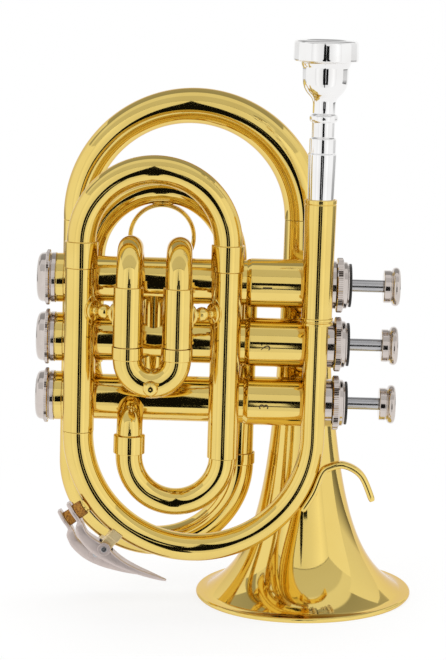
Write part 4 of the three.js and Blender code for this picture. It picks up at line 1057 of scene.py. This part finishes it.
def brace(name, start, end):
    shape = brace_shape((end - start).length)
    place = leaning @ between(start, end)
    return brass_part(name, "turned", shape, place)


print("ball width:", 2 * BALL, "mm")

# %% [markdown]
# A thin oval plate, bent round the tube, lies under each end of a front brace. It gives
# the solder something to hold. The two braces behind run from the casings to the bell.

# %% Plates, and the four braces
PLATE_THICK = 0.4
PLATE_RINGS = 7
PLATE_STEPS = 48
PLATE_TOP_SHARE = 0.96
PLATE_HEIGHT = 13.2
PLATE_WIDTH = 9.2
BRACE_Z = 15
BRACE_GAP = 0.1


def plate_shape(tube):
    """An oval plate that wraps a tube along Z. Its middle faces +X."""
    under = [(ring / PLATE_RINGS, tube) for ring in range(PLATE_RINGS + 1)]
    top = [(share * PLATE_TOP_SHARE, tube + PLATE_THICK) for share, reach in reversed(under)]
    vertices = []
    for share, reach in under + top:
        for step in range(PLATE_STEPS):
            turn = 2 * math.pi * step / PLATE_STEPS
            angle = share * PLATE_WIDTH / 2 * math.cos(turn) / tube
            up = share * PLATE_HEIGHT / 2 * math.sin(turn)
            vertices.append(Vector((reach * math.cos(angle), reach * math.sin(angle), up)))
    return vertices, skin(len(under + top), PLATE_STEPS, closed=False)


def wrap_plate(name, middle, tube, toward):
    place = leaning @ at(*middle, turn_z=math.atan2(toward.y, toward.x))
    make_piece(f"{name}_plate", plate_shape(tube - 0.05), place, brass)


legs = (("left", -1, LEFT_LEG_X, LEFT_TUBE), ("right", 1, RIGHT_LEG_X, RIGHT_TUBE))
for name, side, outer_x, outer_tube in legs:
    inner = Vector((FIRST_SLIDE_X + side * FIRST_SLIDE_RADIUS, FIRST_PLANE, BRACE_Z))
    outer = Vector((outer_x, FRONT_PLANE, BRACE_Z))
    span = (outer - inner).normalized()
    start = inner + span * (FIRST_TUBE + BRACE_GAP)
    brace(f"brace_{name}", start, outer - span * (outer_tube + BRACE_GAP))
    wrap_plate(f"brace_{name}_inner", inner, FIRST_TUBE, span)
    wrap_plate(f"brace_{name}_outer", outer, outer_tube, -span)
for name, number in (("upper", 2), ("lower", 3)):
    z = VALVE_SPACING * (2 - number)
    x = -z * math.sin(lean)
    back = REAR_PLANE - bell_radius(BODY_HEIGHT + z) - BRACE_GAP
    brace(f"bell_brace_{name}", Vector((x, CASING_WIDE + BRACE_GAP, z)), Vector((x, back, z)))
print("plate size:", PLATE_HEIGHT, "by", PLATE_WIDTH, "mm")

# %% Leadpipe pad
PAD_RADIUS = 3.2
PAD_LENGTH = 3.4
shape = moved(revolved(eased(box_outline(0, PAD_RADIUS, 0, PAD_LENGTH), 0.3), 40), BACKWARDS)
place = leaning @ at(LEADPIPE_X, FRONT_PLANE + LEADPIPE_RADIUS - 0.6, 0)
pad = brass_part("leadpipe_pad", "turned", shape, place)
cut_to_casing(pad, 2, 0.2)
print("pad width:", 2 * PAD_RADIUS, "mm")

# %% [markdown]
# The finger hook is a flat rod that is soldered along the front bow and then swings up
# and over. A few points say where it goes, and a smooth curve joins them. Its section is
# a rectangle with round corners, which narrows a little at both ends.

# %% The finger hook
HOOK_THICKNESS = 2.9
HOOK_WIDTH = 5.2
hook_radius = FRONT_BOW_RADIUS + LEADPIPE_RADIUS + 0.25 + HOOK_THICKNESS / 2


def on_bow(degrees):
    angle = math.radians(degrees)
    x = FRONT_BOW_X + hook_radius * math.cos(angle)
    return Vector((x, 0, FRONT_BOW_Z + hook_radius * math.sin(angle)))


hook_points = [
    on_bow(-34.7),
    on_bow(-25.4),
    on_bow(-16.1),
    Vector((10.6, 0, -50.1)),
    Vector((17, 0, -48.9)),
    Vector((24.4, 0, -53.2)),
    Vector((29.4, 0, -64)),
]


def curve_through(points, steps):
    """Points along a smooth curve that passes through all the given ones."""
    line = []
    last = len(points) - 1
    for index in range(last):
        before = points[max(index - 1, 0)]
        start = points[index]
        end = points[index + 1]
        after = points[min(index + 2, last)]
        for step in range(steps):
            t = step / steps
            square = (2 * before - 5 * start + 4 * end - after) * t * t
            cube = (3 * start - before - 3 * end + after) * t * t * t
            line.append(0.5 * (2 * start + (end - before) * t + square + cube))
    return line + [points[last]]


def strip(points, half_width, half_thick):
    """A rounded strip along points in the XZ plane. Widths may change along it."""
    vertices = []
    section = 16
    last = len(points) - 1
    for index, point in enumerate(points):
        share = index / last
        ahead = points[min(index + 1, last)] - points[max(index - 1, 0)]
        normal = Vector((-ahead.z, 0, ahead.x)).normalized()
        for corner in range(section):
            turn = 2 * math.pi * corner / section
            flat = abs(math.cos(turn)) ** 0.45 * math.copysign(1, math.cos(turn))
            high = abs(math.sin(turn)) ** 0.7 * math.copysign(1, math.sin(turn))
            across = Vector((0, flat * half_width(share), 0))
            vertices.append(point + across + normal * high * half_thick(share))
    return vertices, skin(len(points), section, closed=False)


def hook_width(share):
    end = min(share / 0.03, (1 - share) / 0.03, 1)
    return HOOK_WIDTH / 2 * (0.75 + 0.25 * math.sqrt(end))


def hook_thick(share):
    end = min(share / 0.03, (1 - share) / 0.03, 1)
    return HOOK_THICKNESS / 2 * (0.7 + 0.3 * math.sqrt(end))


shape = strip(curve_through(hook_points, 12), hook_width, hook_thick)
place = leaning @ at(0, FRONT_PLANE, 0)
brass_part("finger_hook", "forged", shape, place)
print("hook reaches", round(hook_points[-1].x - hook_points[2].x, 1), "mm past the bow")

# %% [markdown]
# ## Water keys
# Each water key is a sprung lever that holds a cork on a drain hole. The lever is a deep
# crescent of nickel that follows the bow: a short bar over the cork, a hollow neck, ears
# at the hinge and a long tail that stands off the bow. Every place on it is an arc along
# the bow from the cork and a height above the bow's outer surface.

# %% Sizes round a bow
CORK_ANGLE = math.radians(35.5)
PIVOT_ARM = 17.5
PIVOT_HEIGHT = 7.2
LEVER_WIDTH = 8.4
LEVER_DEPTH = 12
CORK_SEAT = 5.1
NIPPLE_HEIGHT = 1.3
front_tube = LEADPIPE_RADIUS + (FRONT_BOW_END - LEADPIPE_RADIUS) * (1 - CORK_ANGLE / math.pi)
keys = {
    "front_key": (at(FRONT_BOW_X, FRONT_PLANE, FRONT_BOW_Z), FRONT_BOW_RADIUS, front_tube, 26.3),
    "rear_key": (at(REAR_BOW_X, REAR_PLANE, REAR_BOW_Z), REAR_BOW_RADIUS, REAR_TUBE, 19.5),
}


def outward(angle, radius):
    return Vector((-radius * math.cos(angle), 0, -radius * math.sin(angle)))


def on_key(key, along, height):
    """A place that lies along the bow from the cork, with Z outward and X on along it."""
    bow_place, bow_radius, tube, tail_arm = keys[key]
    angle = CORK_ANGLE + along / (bow_radius + tube)
    foot = outward(angle, bow_radius + tube + height)
    turned = Matrix.Rotation(-math.pi / 2 - angle, 4, "Y")
    return leaning @ bow_place @ Matrix.Translation(foot) @ turned


print("cork angle:", round(math.degrees(CORK_ANGLE), 1), "degrees below the left leg")

# %% [markdown]
# The lever's outline is a short table: the station is 0 at the cork, 1 at the pivot and
# 2 at the tip. Beside it stand the shares of the full width, and of the full depth for
# the underside and the back. A smooth curve through the rows makes the crescent.

# %% The levers
LEVER_SHARES = [
    (-0.26, 0.5, 0.45, 0.56),
    (-0.24, 0.62, 0.43, 0.58),
    (-0.05, 0.86, 0.43, 0.59),
    (0.17, 0.82, 0.43, 0.6),
    (0.23, 0.7, 0.44, 0.72),
    (0.28, 0.64, 0.46, 0.82),
    (0.4, 0.62, 0.53, 0.91),
    (0.52, 0.66, 0.57, 0.97),
    (0.76, 0.8, 0.52, 1),
    (1, 0.86, 0.45, 0.98),
    (1.27, 0.86, 0.57, 0.91),
    (1.5, 0.8, 0.62, 0.85),
    (1.75, 0.55, 0.66, 0.83),
    (1.95, 0.26, 0.74, 0.83),
    (2, 0.12, 0.77, 0.82),
]
LEVER_CORNERS = 28


def lever_shape(key):
    bow_place, bow_radius, tube, tail_arm = keys[key]
    surface = bow_radius + tube
    rows = []
    for station, width, under, back in LEVER_SHARES:
        along = PIVOT_ARM * min(station, 1) + tail_arm * max(station - 1, 0)
        rows.append(Vector((along, width * LEVER_WIDTH / 2, under * LEVER_DEPTH, back * LEVER_DEPTH)))
    rows = curve_through(rows, 5)
    vertices = []
    for along, half_width, under, back in rows:
        for corner in range(LEVER_CORNERS):
            turn = 2 * math.pi * (corner + 0.5) / LEVER_CORNERS
            across = math.copysign(abs(math.cos(turn)) ** 0.22, math.cos(turn)) * half_width
            up = math.copysign(abs(math.sin(turn)) ** 0.5, math.sin(turn)) * (back - under) / 2
            point = outward(CORK_ANGLE + along / surface, surface + (under + back) / 2 + up)
            vertices.append(Vector((point.x, across, point.z)))
    return vertices, skin(len(rows), LEVER_CORNERS, closed=False)


def slab(outline, width):
    """An outline of (x, z) made solid, as wide as told along Y."""
    vertices = [Vector((x, y, z)) for y in (-width / 2, width / 2) for x, z in outline]
    return vertices, skin(2, len(outline), closed=False)


def block(length, width, low, high):
    return slab(box_outline(-length / 2, length / 2, low, high), width)


print("lever depth:", LEVER_DEPTH, "mm at the pivot")

# %% [markdown]
# The lever straddles its post. So a slot is milled through it from below, and a round ear
# stands out a little on either side, where the hinge pin goes through.

# %% Slots and ears
POST_WIDTH = 4
SLOT_LENGTH = 7.2
SLOT_WIDTH = 4.6
SLOT_FOOT = -4
SLOT_TOP = 9.7
EAR_RADIUS = 2.85
EAR_OUTSIDE = 3.9
PIN_RADIUS = 0.8
CROSSWISE = Matrix.Rotation(math.pi / 2, 4, "X")
for key in keys:
    body = f"{key.split('_')[0]}_water_key"
    shape = lever_shape(key)
    place = leaning @ keys[key][0]
    lever = make_piece(f"{key}_crescent", shape, place, satin_nickel, body, [f"{key}_lever"])
    carve(lever, block(SLOT_LENGTH, SLOT_WIDTH, SLOT_FOOT, SLOT_TOP), on_key(key, PIVOT_ARM, 0))
    pivot = on_key(key, PIVOT_ARM, PIVOT_HEIGHT) @ CROSSWISE
    ears = (("near", SLOT_WIDTH / 2, EAR_OUTSIDE), ("far", -EAR_OUTSIDE, -SLOT_WIDTH / 2))
    for side, start, end in ears:
        shape = revolved(eased(box_outline(PIN_RADIUS + 0.1, EAR_RADIUS, start, end), 0.3), 40)
        make_piece(f"{key}_ear_{side}", shape, pivot, satin_nickel, body)
    foot = NIPPLE_HEIGHT + 0.1
    shape = revolved(eased([(0, foot), (3.25, foot), (3.4, CORK_SEAT), (0, CORK_SEAT)], 0.25), 40)
    make_piece(f"{key}_cork_turned", shape, on_key(key, 0, 0), cork, body, [f"{key}_cork"])
    nipple = [(1.5, -1), (3, -1), (2.8, 0.1), (2.6, 0.4), (2.6, NIPPLE_HEIGHT), (1.5, NIPPLE_HEIGHT)]
    make_piece(f"{key}_nipple", revolved(eased(nipple, 0.2), 32), on_key(key, 0, 0), brass)
print("a slot is", SLOT_WIDTH, "mm wide and its post", POST_WIDTH, "mm")

# %% [markdown]
# The post is a brass block with a round end, on a saddle that is soldered over the bow. A
# steel pin with small heads goes through the ears and the post.

# %% The posts and hinge pins
POST_LENGTH = 5.2
POST_SHOULDER = 6.2
POST_END = 2.2
SADDLE_WIDTH = 10
SADDLE_TOP = 1.3
SADDLE_FOOT = -3.4
PIN_HEAD = 4.3


def post_shape():
    """The post's outline seen from the side, with its round end, made solid."""
    x = POST_LENGTH / 2
    outline = [(-x, SADDLE_FOOT), (x, SADDLE_FOOT), (x, POST_SHOULDER)]
    for step in range(13):
        angle = math.pi * step / 12
        outline.append((POST_END * math.cos(angle), PIVOT_HEIGHT + POST_END * math.sin(angle)))
    return slab(outline + [(-x, POST_SHOULDER)], POST_WIDTH)


for key, (bow_place, bow_radius, tube, tail_arm) in keys.items():
    place = on_key(key, PIVOT_ARM, 0)
    node = f"{key}_post"
    post = make_piece(f"{node}_cast", post_shape(), place, cast_brass, "horn", [node])
    shape = block(POST_LENGTH, SADDLE_WIDTH, SADDLE_FOOT, SADDLE_TOP)
    saddle = make_piece(f"{key}_saddle", shape, place, cast_brass)
    under = moved(revolved(box_outline(0, tube - 0.05, -9, 9), 72), ALONG_X)
    for piece in (post, saddle):
        carve(piece, under, on_key(key, PIVOT_ARM, -tube))
        bevel = piece.modifiers.new("ease", "BEVEL")
        bevel.width = 0.3 * MM
        bevel.segments = 3
        bevel.angle_limit = math.radians(40)
    pin = [(0, -PIN_HEAD), (1.2, -PIN_HEAD), (1.35, -PIN_HEAD + 0.15)]
    pin += [(1.35, -EAR_OUTSIDE), (PIN_RADIUS, -EAR_OUTSIDE)]
    pin += [(radius, -height) for radius, height in reversed(pin)]
    place = on_key(key, PIVOT_ARM, PIVOT_HEIGHT) @ CROSSWISE
    make_piece(f"{key}_pin", revolved(eased(pin, 0.1), 24), place, steel)
print("post width:", POST_WIDTH, "mm")

# %% [markdown]
# ## Engraved digits
# Each casing carries its valve's number, cut into the brass and turned a quarter. A text
# object gives the digit's outline, which is then laid on the casing's curve.

# %% Digits on the casings
DIGIT_HEIGHT = 4
DIGIT_X = -18
DIGIT_TURN = -0.05


def digit_piece(number):
    text = bpy.data.curves.new("digit", "FONT")
    text.body = str(number)
    text.align_x = "CENTER"
    text.align_y = "CENTER"
    text.size = DIGIT_HEIGHT / 0.7
    text.resolution_u = 6
    holder = new_object("digit", text)
    flat = final_mesh(holder)
    bpy.data.objects.remove(holder)
    vertices = []
    for vertex in flat.vertices:
        along = DIGIT_X + vertex.co.y
        angle = vertex.co.x / CASING_WIDE
        reach = CASING_WIDE + 0.03
        z = VALVE_SPACING * (2 - number) + reach * math.sin(angle + DIGIT_TURN)
        vertices.append(Vector((along, -reach * math.cos(angle + DIGIT_TURN), z)))
    faces = [tuple(polygon.vertices) for polygon in flat.polygons]
    return make_piece(f"digit_{number}", (vertices, faces), leaning, engraved)


for number in (1, 2, 3):
    digit_piece(number)
print("digit height:", DIGIT_HEIGHT, "mm")

# %% [markdown]
# ## The studio
# The camera stands almost a metre away, looks a little down and sees the trumpet's front.
# Its place was worked out from the sizes of the rim, the bell and the valves in the
# photograph.

# %% Camera
CAMERA_LENS = 120
CAMERA_TILT = 9.5
camera_data = bpy.data.cameras.new("camera")
camera_data.lens = CAMERA_LENS
camera_data.sensor_width = 36
camera = new_object("camera", camera_data)
camera.location = upright @ Vector((-35.8, -926.9, 279.7))
camera.rotation_euler = (math.radians(90 - CAMERA_TILT), 0, 0)
bpy.context.scene.camera = camera
print("camera at", [round(value, 3) for value in camera.location])

# %% [markdown]
# A polished horn is mostly a picture of its surroundings. Behind everything is a white
# world, which glossy rays see at full strength, while the light on dull surfaces is
# lower. Cards that only reflections can see then shape the metal: a pale wall behind the
# camera, a dark gable in front of it that draws the black line down each tube, a ceiling
# in bands of grey that gives the tops their olive tone, and a flag on either side, dark
# at its foot.

# %% The white world
scene = bpy.context.scene
scene.view_settings.view_transform = "Standard"
world = bpy.data.worlds.new("tent")
scene.world = world
world.use_nodes = True
tree = world.node_tree
background = tree.nodes["Background"]
background.inputs["Color"].default_value = (1, 1, 1, 1)


def either(tree, source, output, other, other_output):
    """The larger of two outputs, which are 0 or 1."""
    node = add_node(tree, "Math")
    node.operation = "MAXIMUM"
    join(tree, source, output, node, 0)
    join(tree, other, other_output, node, 1)
    return node


DULL_LIGHT = 0.62
paths = add_node(tree, "LightPath")
seen = either(tree, paths, "Is Camera Ray", paths, "Is Glossy Ray")
seen_too = either(tree, seen, 0, paths, "Is Transmission Ray")
strength = add_node(tree, "MapRange", To_Min=DULL_LIGHT, To_Max=1.0)
join(tree, seen_too, 0, strength, "Value")
join(tree, strength, "Result", background, "Strength")
print("light on dull surfaces:", DULL_LIGHT)

# %% [markdown]
# The floor is white paper. Near the trumpet a fifth of its light comes from the lamps and
# the world, so it takes a faint shadow. Further out it only glows, and can't be told from
# the white behind it.

# %% The floor
def flat_card(name, corners):
    mesh = bpy.data.meshes.new(name)
    mesh.from_pydata(corners, [], [tuple(range(len(corners)))])
    card = new_object(name, mesh)
    return card


FLOOR_FRONT = -0.08
floor = flat_card("floor", [(x, y, 0) for x, y in box_outline(-1.6, 1.6, FLOOR_FRONT, 1.8)])
paper, tree = new_material("white_paper")
shader = tree.nodes["Principled BSDF"]
shader.inputs["Base Color"].default_value = (0.9, 0.9, 0.9, 1)
shader.inputs["Roughness"].default_value = 0.8
glow = add_node(tree, "Emission")
paths = add_node(tree, "LightPath")
seen = either(tree, paths, "Is Camera Ray", paths, "Is Glossy Ray")
where = add_node(tree, "TexCoord")
away = add_node(tree, "VectorMath")
away.operation = "LENGTH"
join(tree, where, "Object", away, 0)
fade = add_node(tree, "MapRange", From_Min=0.06, From_Max=0.3, To_Min=0.8, To_Max=1.0)
fade.interpolation_type = "SMOOTHSTEP"
join(tree, away, "Value", fade, "Value")
share = add_node(tree, "Math")
share.operation = "MULTIPLY"
join(tree, seen, 0, share, 0)
join(tree, fade, "Result", share, 1)
mix = add_node(tree, "MixShader")
join(tree, share, 0, mix, 0)
join(tree, shader, 0, mix, 1)
join(tree, glow, 0, mix, 2)
join(tree, mix, 0, tree.nodes["Material Output"], 0)
floor.data.materials.append(paper)
print("floor front edge:", FLOOR_FRONT, "m")

# %% [markdown]
# Every card below has the same material: a grey that changes along one of its sides. The
# stops say how bright it is at each share of the way. The gable has a narrow window with
# a low bar and a lintel over it. In the plain right ends of the valve casings this window
# shows the pale wall.

# %% Cards that only reflections see
def reflected_card(name, corners, stops, side="X"):
    card = flat_card(name, corners)
    glow, tree = new_material(name)
    tree.nodes.remove(tree.nodes["Principled BSDF"])
    light = add_node(tree, "Emission")
    where = add_node(tree, "TexCoord")
    split = add_node(tree, "SeparateXYZ")
    ramp = colour_ramp(tree, [(position, (grey, grey, grey)) for position, grey in stops])
    join(tree, where, "Generated", split, 0)
    join(tree, split, side, ramp, 0)
    join(tree, ramp, 0, light, "Color")
    join(tree, light, 0, tree.nodes["Material Output"], 0)
    card.data.materials.append(glow)
    card.visible_camera = False
    card.visible_diffuse = False
    card.visible_shadow = False
    card.visible_transmission = False
    return card


eye = camera.location
WALL_TOP = 0.9
WALL_LOW = -0.6
WALL_HALF = 1.3
CEILING_END = 1.3


def upright_card(name, outline, y, stops):
    return reflected_card(name, [(eye.x + x, y, z) for x, z in outline], stops)


wall_stops = [(0, 0.85), (0.2, 1.06), (0.38, 0.9), (0.5, 0.86), (0.62, 0.92), (0.8, 1.12), (1, 0.9)]
wall = box_outline(-WALL_HALF, WALL_HALF, WALL_LOW, WALL_TOP)
upright_card("pale_wall", wall, eye.y - 0.005, wall_stops)
dark = [(0, 0.006), (1, 0.006)]
STRIP = (-0.19, 0.24, -0.25, 0.12)
GABLE = (-0.14, 0.02, -0.059, 0.86)
FOOT = (-0.1, -0.02, WALL_LOW)
WINDOW = (0.027, 0.057)
BAR = (-0.2, -0.13)
LINTEL = (0.02, 0.18, 0.085, 0.28)
left, right, low, high = STRIP
gable = [(left, low), (FOOT[0], low), (FOOT[0], FOOT[2]), (FOOT[1], FOOT[2]), (FOOT[1], low)]
gable += [(WINDOW[0], low), (WINDOW[0], high), (GABLE[1], high)]
gable += [(GABLE[2], GABLE[3]), (GABLE[0], high), (left, high)]
upright_card("dark_gable", gable, eye.y, dark)
upright_card("dark_wing", box_outline(WINDOW[1], right, low, high), eye.y, dark)
upright_card("dark_bar", box_outline(WINDOW[0], WINDOW[1], *BAR), eye.y, dark)
upright_card("dark_lintel", box_outline(*LINTEL), eye.y, dark)
seam = box_outline(-WALL_HALF, WALL_HALF, WALL_TOP - 0.02, WALL_TOP)
upright_card("seam", seam, eye.y + 0.01, [(0, 0.2), (1, 0.2)])
ceiling = [(eye.x + x, y, WALL_TOP) for x, y in box_outline(-WALL_HALF, WALL_HALF, eye.y, CEILING_END)]
ceiling_stops = [(0, 0.66), (0.3, 0.68), (0.32, 0.86), (0.46, 0.86)]
ceiling_stops += [(0.475, 0.36), (0.6, 0.4), (0.95, 0.5), (1, 0.7)]
reflected_card("banded_ceiling", ceiling, ceiling_stops, "Y")
flags = (("right_flag", 0.8, 0.05, 0.75, 0.12), ("left_flag", -0.8, 0.35, 1.5, 0.2))
for name, x, near, far, grey in flags:
    corners = [(x, near, -0.1), (x, far, -0.1), (x, far, 0.9), (x, near, 0.9)]
    reflected_card(name, corners, [(0, grey), (0.1, grey), (0.24, 0.85), (1, 0.95)], "Z")
print("the window in the gable:", WINDOW, "m")

# %% Lamps
def soft_lamp(name, place, aim, size, power):
    data = bpy.data.lights.new(name, "AREA")
    data.shape = "RECTANGLE"
    data.size = size[0]
    data.size_y = size[1]
    data.energy = power
    lamp = new_object(name, data)
    lamp.location = place
    lamp.rotation_euler = (Vector(aim) - Vector(place)).to_track_quat("-Z", "Y").to_euler()
    lamp.visible_glossy = False
    return lamp


soft_lamp("left_softbox", (-0.85, -0.55, 0.45), (0, 0, 0.12), (0.5, 0.9), 5)
soft_lamp("right_softbox", (0.85, -0.6, 0.35), (0, 0, 0.12), (0.45, 0.9), 4)
soft_lamp("top_softbox", (0, 0.1, 1.1), (0, 0, 0.1), (0.9, 0.7), 6)
